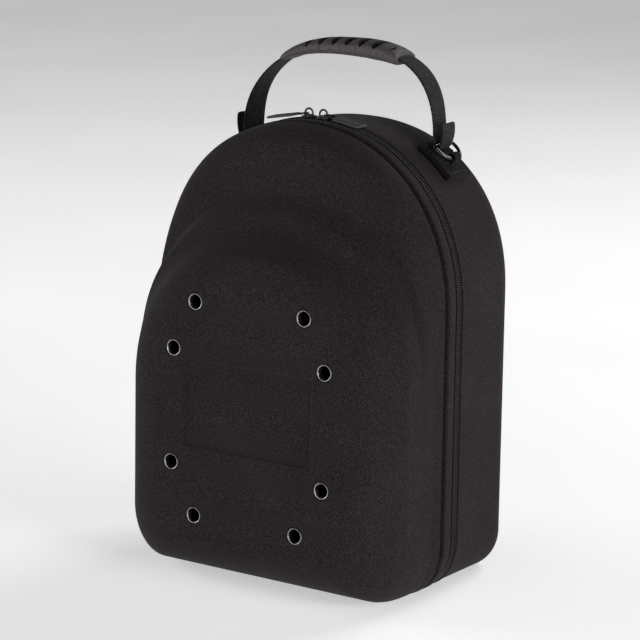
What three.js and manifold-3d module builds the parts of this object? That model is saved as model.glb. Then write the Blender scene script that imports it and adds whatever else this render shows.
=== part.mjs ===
// Moulded carrier case for baseball caps: two zipped shells, eight vent eyelets and a webbing
// handle with a rubber grip. Millimetres, +Z up, the domed front faces -Y, and the origin is
// the middle of the base.
import * as THREE from 'three';
import { mergeVertices } from 'three/addons/utils/BufferGeometryUtils.js';
import Module from 'manifold-3d';

const wasm = await Module();
wasm.setup();

// Fit between neighbouring pieces
const CLEARANCE = 0.3;

// Case outline: a full round arch on straight sides, with wide elliptical lower corners
const CASE_WIDTH = 252;
const CASE_HEIGHT = 352;
const ARCH_RISE = 132;
const ARCH_POWER = 2.1;
const CORNER_WIDE = 30;
const CORNER_TALL = 42;

// Shells, with each depth measured from its own lip
const FRONT_DEPTH = 96.5;
const BACK_DEPTH = 84.5;
const BACK_ROUNDING = 25;
const BACK_STEP = 1;
const BACK_CROWN_FALL = 5.5;
const BACK_POWER = 2.25;
const BACK_CORNER_WIDE = 24;
const BACK_CORNER_TALL = 28;
const FRONT_FOOT_LONG = 66;
const FRONT_FOOT_TALL = 40;
const SHELL_WALL = 4;
const FRONT_LIP_DEPTH = 11.6;
const BACK_LIP_DEPTH = 2.4;
const LIP_WALL = 3;
const LIP_POCKET = 6;
const GROOVE_DEPTH = 4.2;
const GROOVE_SLOPE = 0.5;
const GROOVE_SINK = 5.4;
const GROOVE_WALL = 2;
const GROOVE_FOOT_SINK = 1;

// Zipper
const COIL_CHANNEL = 8;
const COIL_SINK = 0.8;
const COIL_THICK = 2.2;
const TAPE_THICK = 1;
const HINGE_WIDTH = 110;
const HINGE_THICK = 1.4;

// Sliders and pulls
const SLIDER_CENTRE = -3.5;
const SLIDER_OFFSET = 6.5;
const SLIDER_LENGTH = 9.6;
const SLIDER_WIDTH = 10;
const SLIDER_PLATE = 1;
const SLIDER_CORNER = 2;
const SLIDER_FOOT = 0.9;
const BAIL_RADIUS = 3.4;
const BAIL_WIRE = 1.5;
const BAIL_LEG = 2;
const PULL_DROOP = THREE.MathUtils.degToRad(10);
const LINK_THICK = 1.3;
const LINK_WIDTH = 7;
const LINK_BAR = 1.3;
const LINK_EYE = 7.8;
const LINK_CORNER = 1.6;
const EYE_CORNER = 0.8;
const LINK_TONGUE = 7;
const TONGUE_WIDTH = 4;
const TAB_LENGTH = 23.5;
const TAB_WIDTH = 15;
const TAB_THICK = 2.4;
const TAB_CORNER = 2.5;

// Eyelets and the plain sunk panel on the face
const EYELET_FLANGE = 13.6;
const EYELET_BARREL = 11.4;
const EYELET_HOLE = 10.2;
const EYELET_RIM = 1;
const EYELET_EDGE = 0.6;
const EYELET_SINK = 1.2;
const PANEL_WIDTH = 117;
const PANEL_HEIGHT = 69;
const PANEL_CENTRE = 143;
const PANEL_SINK = 1.5;
const PANEL_CORNER = 4;

// Handle, with its plane measured back from the back shell's lip
const HANDLE_SETBACK = 39;
const HANDLE_TOP = 402.5;
const HANDLE_POWER = 2.6;
const STRAP_WIDTH = 22;
const STRAP_THICK = 1.8;
const TAIL_LENGTH = 16;
const TAIL_LEAN = THREE.MathUtils.degToRad(5);
const GRIP_HALF = 55;
const GRIP_WIDTH = 28;
const GRIP_SLOTS = 6;
const SLOT_PITCH = 12;
const SLOT_WIDE = 6;
const SLOT_LONG = 16;
const SLOT_SINK = 2.4;
const SLOT_SLANT = THREE.MathUtils.degToRad(12);

// Strap anchors on the back shell's shoulders, with angles measured down from the crown
const ANCHOR_WIDTH = 31;
const ANCHOR_THICK = 6;
const ANCHOR_START = THREE.MathUtils.degToRad(31.5);
const ANCHOR_END = THREE.MathUtils.degToRad(49);
const LOOP_ANGLE = THREE.MathUtils.degToRad(43.5);
const LOOP_STANDOFF = 10.5;
const LOOP_WALL = 1.5;
const LOOP_WIDTH = 9;
const RING_WIRE = 2.8;
const RING_WIDTH = 30;
const RING_HEIGHT = 14;
const RING_LEAN = THREE.MathUtils.degToRad(51);
const RING_CORNER = 9;
const RING_TIGHT = 3;

// Facets
const FOOT_STEPS = 3;
const CORNER_STEPS = 5;
const SIDE_STEPS = 4;
const ARCH_STEPS = 10;
const ROUND_STEPS = 5;
const BEND_STEPS = 4;
const FOLD_STEPS = 8;
const STRAP_STEPS = 20;
const GRIP_STEPS = 14;
const ROUND_SIDES = 12;
const WIRE_SIDES = 6;

// Sections of the front shell from the groove to the flat of the face. Side and corner are
// shares of the case's half width and corner sizes, crown and spring are shares of its height,
// power is the roundness of the arch, and low and high are shares of the front depth at the
// section's foot and crown.
const FRONT_SECTIONS = [
  { name: 'wall', side: 0.995, crown: 0.998, spring: 0.625, power: 2.1, corner: 0.99,
    low: 0.18, high: 0.18 },
  { name: 'border', side: 0.983, crown: 0.992, spring: 0.591, power: 2.25, corner: 0.97,
    low: 0.233, high: 0.264 },
  { name: 'border', side: 0.975, crown: 0.982, spring: 0.551, power: 2.32, corner: 0.97,
    low: 0.28, high: 0.337 },
  { name: 'border', side: 0.972, crown: 0.966, spring: 0.517, power: 2.32, corner: 0.96,
    low: 0.326, high: 0.399 },
  { name: 'border', side: 0.97, crown: 0.935, spring: 0.494, power: 2.25, corner: 0.96,
    low: 0.378, high: 0.44 },
  { name: 'panel', side: 0.968, crown: 0.892, spring: 0.489, power: 2.14, corner: 0.95,
    low: 0.43, high: 0.449 },
  { name: 'valley', side: 0.967, crown: 0.852, spring: 0.494, power: 2.1, corner: 0.95,
    low: 0.477, high: 0.477 },
  { name: 'rise', side: 0.965, crown: 0.83, spring: 0.497, power: 2.1, corner: 0.95,
    low: 0.544, high: 0.565 },
  { name: 'ledge', side: 0.963, crown: 0.811, spring: 0.491, power: 2.12, corner: 0.94,
    low: 0.601, high: 0.609 },
  { name: 'ledge', side: 0.959, crown: 0.787, spring: 0.474, power: 2.12, corner: 0.93,
    low: 0.653, high: 0.632 },
  { name: 'rise', side: 0.946, crown: 0.771, spring: 0.455, power: 2.12, corner: 0.92,
    low: 0.72, high: 0.674 },
  { name: 'rise', side: 0.901, crown: 0.754, spring: 0.429, power: 2.11, corner: 0.89,
    low: 0.829, high: 0.788 },
  { name: 'brow', side: 0.817, crown: 0.736, spring: 0.432, power: 2.05, corner: 0.85,
    low: 0.933, high: 0.884 },
  { name: 'brow', side: 0.742, crown: 0.719, spring: 0.446, power: 2, corner: 0.82,
    low: 0.979, high: 0.915 },
  { name: 'face', side: 0.667, crown: 0.702, spring: 0.46, power: 2, corner: 0.79,
    low: 1, high: 0.925 },
];

// Eyelets, as shares of the case's half width and height, each made on both sides
const EYELET_ROWS = [
  { side: 0.385, height: 0.627 },
  { side: 0.5365, height: 0.52 },
  { side: 0.54, height: 0.2685 },
  { side: 0.365, height: 0.159 },
];

// Grip sections along half its length: its heights over and under the strap's middle, in mm
const GRIP_SECTIONS = [
  { along: 0, over: 6.6, under: 6 },
  { along: 0.3, over: 6.6, under: 5.6 },
  { along: 0.6, over: 6.2, under: 4.4 },
  { along: 0.85, over: 5.4, under: 3 },
  { along: 1, over: 4.2, under: 2.4 },
];

// Places that follow from the sizes
const seamY = (FRONT_DEPTH - BACK_DEPTH) / 2;
const frontLipY = seamY - COIL_CHANNEL / 2;
const backLipY = seamY + COIL_CHANNEL / 2;
const handleY = backLipY + HANDLE_SETBACK;

// Materials
function finish(color, roughness, metalness = 0) {
  return new THREE.MeshStandardMaterial({ color, roughness, metalness });
}
const cloth = finish(0x2a2527, 0.9);
const tape = finish(0x1d1a1b, 0.85);
const coil = finish(0x171516, 0.55);
const webbing = finish(0x1a1718, 0.8);
const gripRubber = finish(0x5d585c, 0.7);
const tabRubber = finish(0x4c494c, 0.6);
const darkMetal = finish(0x3a3839, 0.3, 0.9);
const wireMetal = finish(0x6d6d70, 0.25, 1);

// Mesh tools
function signedVolume(geometry) {
  const position = geometry.attributes.position;
  const index = geometry.index;
  const a = new THREE.Vector3();
  const b = new THREE.Vector3();
  const c = new THREE.Vector3();
  let sum = 0;
  for (let i = 0; i < index.count; i += 3) {
    a.fromBufferAttribute(position, index.getX(i));
    b.fromBufferAttribute(position, index.getX(i + 1));
    c.fromBufferAttribute(position, index.getX(i + 2));
    sum += a.dot(b.cross(c)) / 6;
  }
  return sum;
}

function closed(geometry) {
  const bare = geometry.clone();
  bare.deleteAttribute('normal');
  bare.deleteAttribute('uv');
  const merged = mergeVertices(bare, 1e-4);
  const corners = [];
  for (let i = 0; i < merged.index.count; i += 3) {
    const [a, b, c] = [0, 1, 2].map((n) => merged.index.getX(i + n));
    if (a !== b && b !== c && c !== a) corners.push(a, b, c);
  }
  merged.setIndex(corners);
  if (signedVolume(merged) < 0) {
    for (let i = 0; i < corners.length; i += 3) [corners[i], corners[i + 1]] = [corners[i + 1], corners[i]];
    merged.setIndex(corners);
  }
  merged.computeVertexNormals();
  return merged;
}

function toSolid(geometry) {
  const body = closed(geometry);
  return new wasm.Manifold(new wasm.Mesh({
    numProp: 3,
    vertProperties: new Float32Array(body.attributes.position.array),
    triVerts: new Uint32Array(body.index.array),
  }));
}

function fromSolid(solid) {
  const mesh = solid.getMesh();
  const geometry = new THREE.BufferGeometry();
  geometry.setAttribute('position', new THREE.BufferAttribute(mesh.vertProperties, 3));
  geometry.setIndex(new THREE.BufferAttribute(mesh.triVerts, 1));
  geometry.computeVertexNormals();
  return geometry;
}

function join(geometries) {
  return fromSolid(geometries.map(toSolid).reduce((whole, next) => whole.add(next)));
}

function cut(geometry, cutters) {
  return fromSolid(cutters.map(toSolid).reduce((whole, next) => whole.subtract(next), toSolid(geometry)));
}

// Joins rows of points, each a closed loop, into one skin. The ends are capped from their
// middles, or meet each other when the rows themselves go round.
function skin(rows, goesRound = false) {
  const size = rows[0].length;
  const points = rows.flat();
  const index = [];
  const bands = goesRound ? rows.length : rows.length - 1;
  for (let j = 0; j < bands; j += 1) {
    const next = (j + 1) % rows.length;
    for (let k = 0; k < size; k += 1) {
      const a = j * size + k;
      const b = j * size + (k + 1) % size;
      const c = next * size + k;
      const d = next * size + (k + 1) % size;
      index.push(a, b, c, b, d, c);
    }
  }
  if (!goesRound) {
    const last = (rows.length - 1) * size;
    const middles = [rows[0], rows.at(-1)].map((row) => row
      .reduce((sum, p) => sum.add(p), new THREE.Vector3()).divideScalar(size));
    const first = points.length;
    points.push(...middles);
    for (let k = 0; k < size; k += 1) {
      const n = (k + 1) % size;
      index.push(first, n, k, first + 1, last + k, last + n);
    }
  }
  const geometry = new THREE.BufferGeometry().setFromPoints(points);
  geometry.setIndex(index);
  return closed(geometry);
}

// Moves every point of a stack of loops inwards along the surface, to make a wall
function insideOf(rows, wall) {
  return rows.map((row, j) => row.map((p, k) => {
    const along = row[(k + 1) % row.length].clone().sub(row[(k + row.length - 1) % row.length]);
    const before = rows[Math.max(j - 1, 0)][k];
    const after = rows[Math.min(j + 1, rows.length - 1)][k];
    const across = after.clone().sub(before);
    const inward = along.cross(across).normalize();
    const middle = new THREE.Vector3(0, row[0].y, CASE_HEIGHT / 2);
    if (inward.dot(middle.sub(p)) < 0) inward.negate();
    return p.clone().addScaledVector(inward, wall);
  }));
}

// A round wire bent along flat corners: each section lies in the mitre of its corner
function wire(path, flatNormal, radius, sides, goesRound) {
  const count = path.length;
  const rows = path.map((p, i) => {
    const before = path[goesRound ? (i + count - 1) % count : Math.max(i - 1, 0)];
    const after = path[goesRound ? (i + 1) % count : Math.min(i + 1, count - 1)];
    const into = p.clone().sub(before).normalize();
    const out = after.clone().sub(p).normalize();
    if (before === p) into.copy(out);
    if (after === p) out.copy(into);
    const side = into.clone().add(out).normalize().cross(flatNormal).normalize();
    const spread = 1 / Math.sqrt((1 + into.dot(out)) / 2);
    return Array.from({ length: sides }, (_, n) => {
      const turn = (2 * Math.PI * (n + 0.5)) / sides;
      return p.clone().addScaledVector(side, radius * spread * Math.cos(turn))
        .addScaledVector(flatNormal, radius * Math.sin(turn));
    });
  });
  return skin(rows, goesRound);
}

function roundedRectangle(width, height, radius) {
  const x = width / 2;
  const y = height / 2;
  const shape = new THREE.Shape();
  shape.moveTo(-x + radius, -y);
  shape.lineTo(x - radius, -y);
  shape.absarc(x - radius, -y + radius, radius, -Math.PI / 2, 0);
  shape.absarc(x - radius, y - radius, radius, 0, Math.PI / 2);
  shape.absarc(-x + radius, y - radius, radius, Math.PI / 2, Math.PI);
  shape.absarc(-x + radius, -y + radius, radius, Math.PI, 1.5 * Math.PI);
  return shape;
}

function plate(shape, thickness, curveSegments = 2) {
  const geometry = new THREE.ExtrudeGeometry(shape, { depth: thickness, bevelEnabled: false, curveSegments });
  return geometry.translate(0, 0, -thickness / 2);
}

// Case outlines
function outline({ half, crown, spring, foot, wide, tall, power = 2 }, from = 0) {
  const right = [];
  for (let i = 0; i < FOOT_STEPS; i += 1) {
    right.push([from + ((half - wide - from) * i) / FOOT_STEPS, foot]);
  }
  for (let i = 0; i < CORNER_STEPS; i += 1) {
    const turn = ((Math.PI / 2) * i) / CORNER_STEPS;
    right.push([half - wide + wide * Math.sin(turn), foot + tall * (1 - Math.cos(turn))]);
  }
  for (let i = 0; i < SIDE_STEPS; i += 1) {
    right.push([half, foot + tall + ((spring - foot - tall) * i) / SIDE_STEPS]);
  }
  for (let i = 0; i <= ARCH_STEPS; i += 1) {
    const turn = ((Math.PI / 2) * i) / ARCH_STEPS;
    right.push([half * Math.cos(turn) ** (2 / power), spring + (crown - spring) * Math.sin(turn) ** (2 / power)]);
  }
  const left = right.slice(0, -1).reverse().map(([x, z]) => [-x, z]);
  if (from === 0) left.pop();
  return [...right, ...left];
}

function rim(inset, footInset = inset) {
  return {
    half: CASE_WIDTH / 2 - inset,
    crown: CASE_HEIGHT - inset,
    spring: CASE_HEIGHT - ARCH_RISE,
    foot: footInset,
    wide: CORNER_WIDE - inset,
    tall: CORNER_TALL - inset,
    power: ARCH_POWER,
  };
}

function loopAt(shape, y, from = 0) {
  return outline(shape, from).map(([x, z]) => new THREE.Vector3(x, y, z));
}

// The front shell's base curves up to the face as a quarter of an ellipse
function sectionFoot(row) {
  const into = Math.max(1 - (1 - row.low) * (FRONT_DEPTH / FRONT_FOOT_LONG), 0);
  return FRONT_FOOT_TALL * (1 - Math.sqrt(1 - into * into));
}

function sectionShape(row) {
  return {
    half: (row.side * CASE_WIDTH) / 2,
    crown: row.crown * CASE_HEIGHT,
    spring: row.spring * CASE_HEIGHT,
    power: row.power,
    foot: sectionFoot(row),
    wide: row.corner * CORNER_WIDE,
    tall: row.corner * CORNER_TALL,
  };
}

function sectionDepth(row, z) {
  const foot = sectionFoot(row);
  const share = (z - foot) / (row.crown * CASE_HEIGHT - foot);
  return FRONT_DEPTH * (row.low + (row.high - row.low) * share);
}

function frontSection(row) {
  return outline(sectionShape(row))
    .map(([x, z]) => new THREE.Vector3(x, frontLipY - sectionDepth(row, z), z));
}

// The flat of the face leans back a little towards its crown
const face = FRONT_SECTIONS.at(-1);
const faceLean = Math.atan2(
  (face.low - face.high) * FRONT_DEPTH, face.crown * CASE_HEIGHT - sectionFoot(face));

function onFace(object, x, z, sink = 0) {
  object.position.set(x, frontLipY - sectionDepth(face, z) + sink, z);
  object.rotation.x = Math.PI - faceLean;
  return object;
}

function faceCutter(geometry, x, z, sink = 0) {
  const holder = onFace(new THREE.Object3D(), x, z, sink);
  holder.updateMatrix();
  return geometry.applyMatrix4(holder.matrix);
}

const eyeletPlaces = EYELET_ROWS.flatMap(({ side, height }) => [-1, 1]
  .map((hand) => ({ x: (hand * side * CASE_WIDTH) / 2, z: height * CASE_HEIGHT })));

function frontShell() {
  const grooveStart = frontLipY - FRONT_LIP_DEPTH - GROOVE_SLOPE;
  const underGroove = GROOVE_SINK + GROOVE_WALL;
  const sections = FRONT_SECTIONS.map(frontSection);
  const outer = [
    loopAt(rim(0), frontLipY),
    loopAt(rim(0), frontLipY - FRONT_LIP_DEPTH),
    loopAt(rim(GROOVE_SINK, GROOVE_FOOT_SINK), grooveStart),
    loopAt(rim(GROOVE_SINK, GROOVE_FOOT_SINK), grooveStart - GROOVE_DEPTH),
    ...sections,
  ];
  const inner = [
    loopAt(rim(LIP_WALL), frontLipY),
    loopAt(rim(LIP_WALL), frontLipY - LIP_POCKET),
    loopAt(rim(underGroove, SHELL_WALL), frontLipY - LIP_POCKET),
    loopAt(rim(underGroove, SHELL_WALL), grooveStart - GROOVE_DEPTH - GROOVE_WALL),
    ...insideOf(sections, SHELL_WALL).filter((_, j) => j > 0 && j % 2 === 0),
  ];
  const shell = skin([...inner.reverse(), ...outer]);
  const reach = 2 * SHELL_WALL;
  const holeRadius = EYELET_BARREL / 2 + CLEARANCE;
  const seatRadius = EYELET_FLANGE / 2 + CLEARANCE;
  const holes = eyeletPlaces.map(({ x, z }) => faceCutter(
    new THREE.CylinderGeometry(holeRadius, holeRadius, 4 * reach, ROUND_SIDES), x, z));
  const seats = eyeletPlaces.map(({ x, z }) => faceCutter(
    new THREE.CylinderGeometry(seatRadius, seatRadius, reach, ROUND_SIDES).translate(0, reach / 2, 0),
    x, z, EYELET_SINK));
  const panel = plate(roundedRectangle(PANEL_WIDTH, PANEL_HEIGHT, PANEL_CORNER), reach)
    .rotateX(-Math.PI / 2).translate(0, reach / 2, 0);
  return cut(shell, [...holes, ...seats, faceCutter(panel, 0, PANEL_CENTRE, PANEL_SINK)]);
}

// The back shell's wall at a depth behind its lip: towards the back the crown falls a little,
// and the shoulders and lower corners fill out
function backWall(inset, depth) {
  const share = depth / BACK_DEPTH;
  const shape = rim(BACK_STEP + inset, inset);
  return {
    ...shape,
    crown: shape.crown - BACK_CROWN_FALL * share,
    wide: Math.max(CORNER_WIDE + (BACK_CORNER_WIDE - CORNER_WIDE) * share - inset, SHELL_WALL),
    tall: Math.max(CORNER_TALL + (BACK_CORNER_TALL - CORNER_TALL) * share - inset, SHELL_WALL),
    power: ARCH_POWER + (BACK_POWER - ARCH_POWER) * share,
  };
}

function backShell() {
  const outer = [
    loopAt(rim(0), backLipY),
    loopAt(rim(0), backLipY + BACK_LIP_DEPTH),
    loopAt(backWall(0, BACK_LIP_DEPTH + BACK_STEP), backLipY + BACK_LIP_DEPTH + BACK_STEP),
  ];
  for (let i = 0; i <= ROUND_STEPS; i += 1) {
    const turn = ((Math.PI / 2) * i) / ROUND_STEPS;
    const inset = BACK_ROUNDING * (1 - Math.cos(turn));
    const depth = BACK_DEPTH - BACK_ROUNDING * (1 - Math.sin(turn));
    outer.push(loopAt(backWall(inset, depth), backLipY + depth));
  }
  const inner = [
    loopAt(rim(LIP_WALL), backLipY),
    loopAt(rim(LIP_WALL), backLipY + LIP_POCKET),
    loopAt(rim(BACK_STEP + SHELL_WALL, SHELL_WALL), backLipY + LIP_POCKET),
    ...insideOf(outer.slice(3), SHELL_WALL),
  ];
  return skin([...inner.reverse(), ...outer]);
}

// A band that follows the rim from one end of the hinge round the crown to the other end.
// Its corners are pairs of an inset from the rim and a place in Y.
function rimBand(corners) {
  const loops = corners.map(([inset, y]) => loopAt(rim(inset), y, HINGE_WIDTH / 2 + CLEARANCE));
  return skin(loops[0].map((_, k) => loops.map((loop) => loop[k])));
}

function zipperCoil() {
  const half = COIL_CHANNEL / 2 - CLEARANCE;
  const shoulder = COIL_THICK / 3;
  const base = COIL_SINK + COIL_THICK;
  return rimBand([
    [base, seamY - half],
    [COIL_SINK + shoulder, seamY - half],
    [COIL_SINK, seamY - half + shoulder],
    [COIL_SINK, seamY + half - shoulder],
    [COIL_SINK + shoulder, seamY + half],
    [base, seamY + half],
  ]);
}

function zipperTape(hand) {
  const top = Math.max(LIP_WALL, COIL_SINK + COIL_THICK) + CLEARANCE;
  const near = seamY + (hand * CLEARANCE) / 2;
  const far = seamY + hand * (COIL_CHANNEL / 2 + LIP_POCKET - CLEARANCE);
  return rimBand([[top, near], [top, far], [top + TAPE_THICK, far], [top + TAPE_THICK, near]]);
}

function hingeStrip() {
  const width = COIL_CHANNEL + 2 * (LIP_POCKET - CLEARANCE);
  return new THREE.BoxGeometry(HINGE_WIDTH, width, HINGE_THICK)
    .translate(0, seamY, LIP_WALL + CLEARANCE + HINGE_THICK / 2);
}

// Sliders: a foot between the lips, a plate over them and a half round bail
const plateTop = CASE_HEIGHT + CLEARANCE + SLIDER_PLATE;
const bailZ = plateTop + BAIL_LEG;

function sliderBody(hand) {
  const x = SLIDER_CENTRE + hand * SLIDER_OFFSET;
  const footBase = CASE_HEIGHT - COIL_SINK + CLEARANCE;
  const footHeight = SLIDER_FOOT + CASE_HEIGHT - footBase;
  const footWidth = COIL_CHANNEL - 4 * CLEARANCE;
  const foot = new THREE.BoxGeometry(SLIDER_LENGTH - 1, footWidth, footHeight)
    .translate(x, seamY, footBase + footHeight / 2);
  const top = plate(roundedRectangle(SLIDER_LENGTH, SLIDER_WIDTH, SLIDER_CORNER), SLIDER_PLATE)
    .translate(x, seamY, plateTop - SLIDER_PLATE / 2);
  const arch = [new THREE.Vector3(x - BAIL_RADIUS, seamY, plateTop - SLIDER_PLATE / 2)];
  for (let i = 0; i <= FOLD_STEPS; i += 1) {
    const turn = Math.PI * (1 - i / FOLD_STEPS);
    arch.push(new THREE.Vector3(x + BAIL_RADIUS * Math.cos(turn), seamY, bailZ + BAIL_RADIUS * Math.sin(turn)));
  }
  arch.push(new THREE.Vector3(x + BAIL_RADIUS, seamY, plateTop - SLIDER_PLATE / 2));
  const bail = wire(arch, new THREE.Vector3(0, 1, 0), BAIL_WIRE / 2, WIRE_SIDES, false);
  return join([foot, top, bail]);
}

// Pulls, drawn along +X from the middle of the bail. The link's eye goes round the bail and
// its tongue sits in a pocket of the moulded tab.
const linkStart = BAIL_RADIUS - BAIL_WIRE / 2 - CLEARANCE - LINK_BAR;
const linkShoulder = linkStart + LINK_BAR + LINK_EYE + LINK_BAR;

function pullLink() {
  const eyeMiddle = linkStart + LINK_BAR + LINK_EYE / 2;
  const ring = roundedRectangle(LINK_EYE + 2 * LINK_BAR, LINK_WIDTH, LINK_CORNER);
  ring.holes.push(roundedRectangle(LINK_EYE, LINK_WIDTH - 2 * LINK_BAR, EYE_CORNER));
  const tongue = new THREE.BoxGeometry(LINK_TONGUE + LINK_BAR / 2, TONGUE_WIDTH, LINK_THICK)
    .translate(linkShoulder + (LINK_TONGUE - LINK_BAR / 2) / 2, 0, 0);
  return join([plate(ring, LINK_THICK).translate(eyeMiddle, 0, 0), tongue]);
}

function pullTab() {
  const start = linkShoulder + CLEARANCE;
  const tab = plate(roundedRectangle(TAB_LENGTH, TAB_WIDTH, TAB_CORNER), TAB_THICK)
    .translate(start + TAB_LENGTH / 2, 0, 0);
  const depth = LINK_TONGUE;
  const pocket = new THREE.BoxGeometry(2 * depth, TONGUE_WIDTH + 2 * CLEARANCE, LINK_THICK + 2 * CLEARANCE)
    .translate(start, 0, 0);
  return cut(tab, [pocket]);
}

// Eyelets, turned about the hole's axis with the flange outwards along +Y
function eyelet() {
  const wallAtSeat = SHELL_WALL - EYELET_SINK;
  const hole = EYELET_HOLE / 2;
  const barrel = EYELET_BARREL / 2;
  const flange = EYELET_FLANGE / 2;
  const back = -wallAtSeat - 2 * CLEARANCE;
  const profile = [
    [hole, back - EYELET_RIM],
    [flange - EYELET_EDGE, back - EYELET_RIM],
    [flange - EYELET_EDGE, back],
    [barrel, back],
    [barrel, CLEARANCE],
    [flange, CLEARANCE],
    [flange - EYELET_EDGE, CLEARANCE + EYELET_RIM],
    [hole, CLEARANCE + EYELET_RIM / 2],
    [hole, back - EYELET_RIM],
  ];
  return closed(new THREE.LatheGeometry(profile.map(([r, y]) => new THREE.Vector2(r, y)), ROUND_SIDES));
}

// Anchors: a sewn patch on the shoulder with a fold that holds the ring
function shoulder(angle, outset, y = handleY) {
  const { half, crown, spring, power } = backWall(0, y - backLipY);
  const rise = crown - spring;
  const across = Math.sin(angle) ** (2 / power);
  const up = Math.cos(angle) ** (2 / power);
  const normal = new THREE.Vector3(across ** (power - 1) / half, 0, up ** (power - 1) / rise).normalize();
  return new THREE.Vector3(half * across, y, spring + rise * up).addScaledVector(normal, outset);
}

const loopCentre = shoulder(LOOP_ANGLE, LOOP_STANDOFF);
const barCentre = loopCentre.clone()
  .add(new THREE.Vector3(-RING_HEIGHT * Math.sin(RING_LEAN), 0, RING_HEIGHT * Math.cos(RING_LEAN)));

function handed(geometry, hand) {
  return closed(geometry.clone().scale(hand, 1, 1));
}

function strapAnchor(hand) {
  const rows = [];
  for (let i = 0; i <= ROUND_STEPS; i += 1) {
    const angle = ANCHOR_START + ((ANCHOR_END - ANCHOR_START) * i) / ROUND_STEPS;
    const [low, high] = [CLEARANCE, CLEARANCE + ANCHOR_THICK];
    const [near, far] = [handleY - ANCHOR_WIDTH / 2, handleY + ANCHOR_WIDTH / 2];
    rows.push([[low, near], [low, far], [high, far], [high, near]]
      .map(([outset, y]) => shoulder(angle, outset, y)));
  }
  const loopRadius = RING_WIRE / 2 + CLEARANCE + LOOP_WALL;
  const tube = new THREE.CylinderGeometry(loopRadius, loopRadius, LOOP_WIDTH, ROUND_SIDES)
    .translate(loopCentre.x, loopCentre.y, loopCentre.z);
  const neckBase = shoulder(LOOP_ANGLE, CLEARANCE + ANCHOR_THICK / 2);
  const neckHeight = loopCentre.distanceTo(neckBase);
  const neckMiddle = loopCentre.clone().add(neckBase).divideScalar(2);
  const neck = new THREE.BoxGeometry(2 * loopRadius, LOOP_WIDTH, neckHeight)
    .rotateY(Math.atan2(loopCentre.x - neckBase.x, loopCentre.z - neckBase.z))
    .translate(neckMiddle.x, neckMiddle.y, neckMiddle.z);
  const holeRadius = RING_WIRE / 2 + CLEARANCE;
  const hole = new THREE.CylinderGeometry(holeRadius, holeRadius, ANCHOR_WIDTH, ROUND_SIDES)
    .translate(loopCentre.x, loopCentre.y, loopCentre.z);
  return handed(cut(join([skin(rows), tube, neck]), [hole]), hand);
}

// Ring: a straight bar in the strap's fold, and a round bend in the anchor's fold
function dRing(hand) {
  const corner = (u, v, radius, start) => Array.from({ length: BEND_STEPS + 1 }, (_, i) => {
    const turn = start + ((Math.PI / 2) * i) / BEND_STEPS;
    return [u + radius * Math.cos(turn), v + radius * Math.sin(turn)];
  });
  const half = RING_WIDTH / 2;
  const flat = [
    ...corner(half - RING_CORNER, RING_CORNER, RING_CORNER, -Math.PI / 2),
    ...corner(half - RING_TIGHT, RING_HEIGHT - RING_TIGHT, RING_TIGHT, 0),
    ...corner(-half + RING_TIGHT, RING_HEIGHT - RING_TIGHT, RING_TIGHT, Math.PI / 2),
    ...corner(-half + RING_CORNER, RING_CORNER, RING_CORNER, Math.PI),
  ];
  const up = barCentre.clone().sub(loopCentre).normalize();
  const path = flat.map(([u, v]) => loopCentre.clone().addScaledVector(up, v).add(new THREE.Vector3(0, u, 0)));
  const normal = up.clone().cross(new THREE.Vector3(0, 1, 0));
  return handed(wire(path, normal, RING_WIRE / 2, WIRE_SIDES, true), hand);
}

// Handle strap: up from one ring, through the grip and down to the other, with short tails
const foldRadius = RING_WIRE / 2 + CLEARANCE + STRAP_THICK / 2;
const handleSpan = barCentre.x - foldRadius;

function handlePoint(turn) {
  const power = 2 / HANDLE_POWER;
  return new THREE.Vector2(
    handleSpan * Math.sign(Math.sin(turn)) * Math.abs(Math.sin(turn)) ** power,
    barCentre.z + (HANDLE_TOP - barCentre.z) * Math.cos(turn) ** power,
  );
}

// The angle on the handle's curve at which it stands this far from its middle
function turnAt(x) {
  return Math.asin(Math.min(Math.abs(x) / handleSpan, 1) ** (HANDLE_POWER / 2)) * Math.sign(x);
}

function strapPath() {
  const half = [];
  const foldEnd = 2 * Math.PI - TAIL_LEAN;
  const tail = new THREE.Vector2(Math.sin(TAIL_LEAN), Math.cos(TAIL_LEAN));
  const onFold = (turn) => new THREE.Vector2(
    barCentre.x + foldRadius * Math.cos(turn), barCentre.z + foldRadius * Math.sin(turn));
  half.push(onFold(foldEnd).addScaledVector(tail, TAIL_LENGTH));
  for (let i = FOLD_STEPS; i > 0; i -= 1) {
    half.push(onFold(Math.PI + ((foldEnd - Math.PI) * i) / FOLD_STEPS));
  }
  for (let i = 0; i < STRAP_STEPS; i += 1) {
    const drop = 1 - (i / STRAP_STEPS) ** 1.5;
    half.push(handlePoint((Math.PI / 2) * drop));
  }
  const mirrored = half.slice().reverse().map((p) => new THREE.Vector2(-p.x, p.y));
  return [...half, handlePoint(0), ...mirrored];
}

function offsetLine(path, distance) {
  return path.map((p, i) => {
    const before = path[Math.max(i - 1, 0)];
    const after = path[Math.min(i + 1, path.length - 1)];
    const along = after.clone().sub(before).normalize();
    return new THREE.Vector2(p.x - along.y * distance, p.y + along.x * distance);
  });
}

// Extrudes a flat profile, drawn in X and Z, evenly to both sides of the handle's plane
function acrossHandle(shape, width) {
  const geometry = new THREE.ExtrudeGeometry(shape, { depth: width, bevelEnabled: false, curveSegments: 6 });
  return geometry.rotateX(Math.PI / 2).translate(0, handleY + width / 2, 0);
}

function handleStrap() {
  const path = strapPath();
  const edge = [...offsetLine(path, STRAP_THICK / 2), ...offsetLine(path, -STRAP_THICK / 2).reverse()];
  return closed(acrossHandle(new THREE.Shape(edge), STRAP_WIDTH));
}

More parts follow.
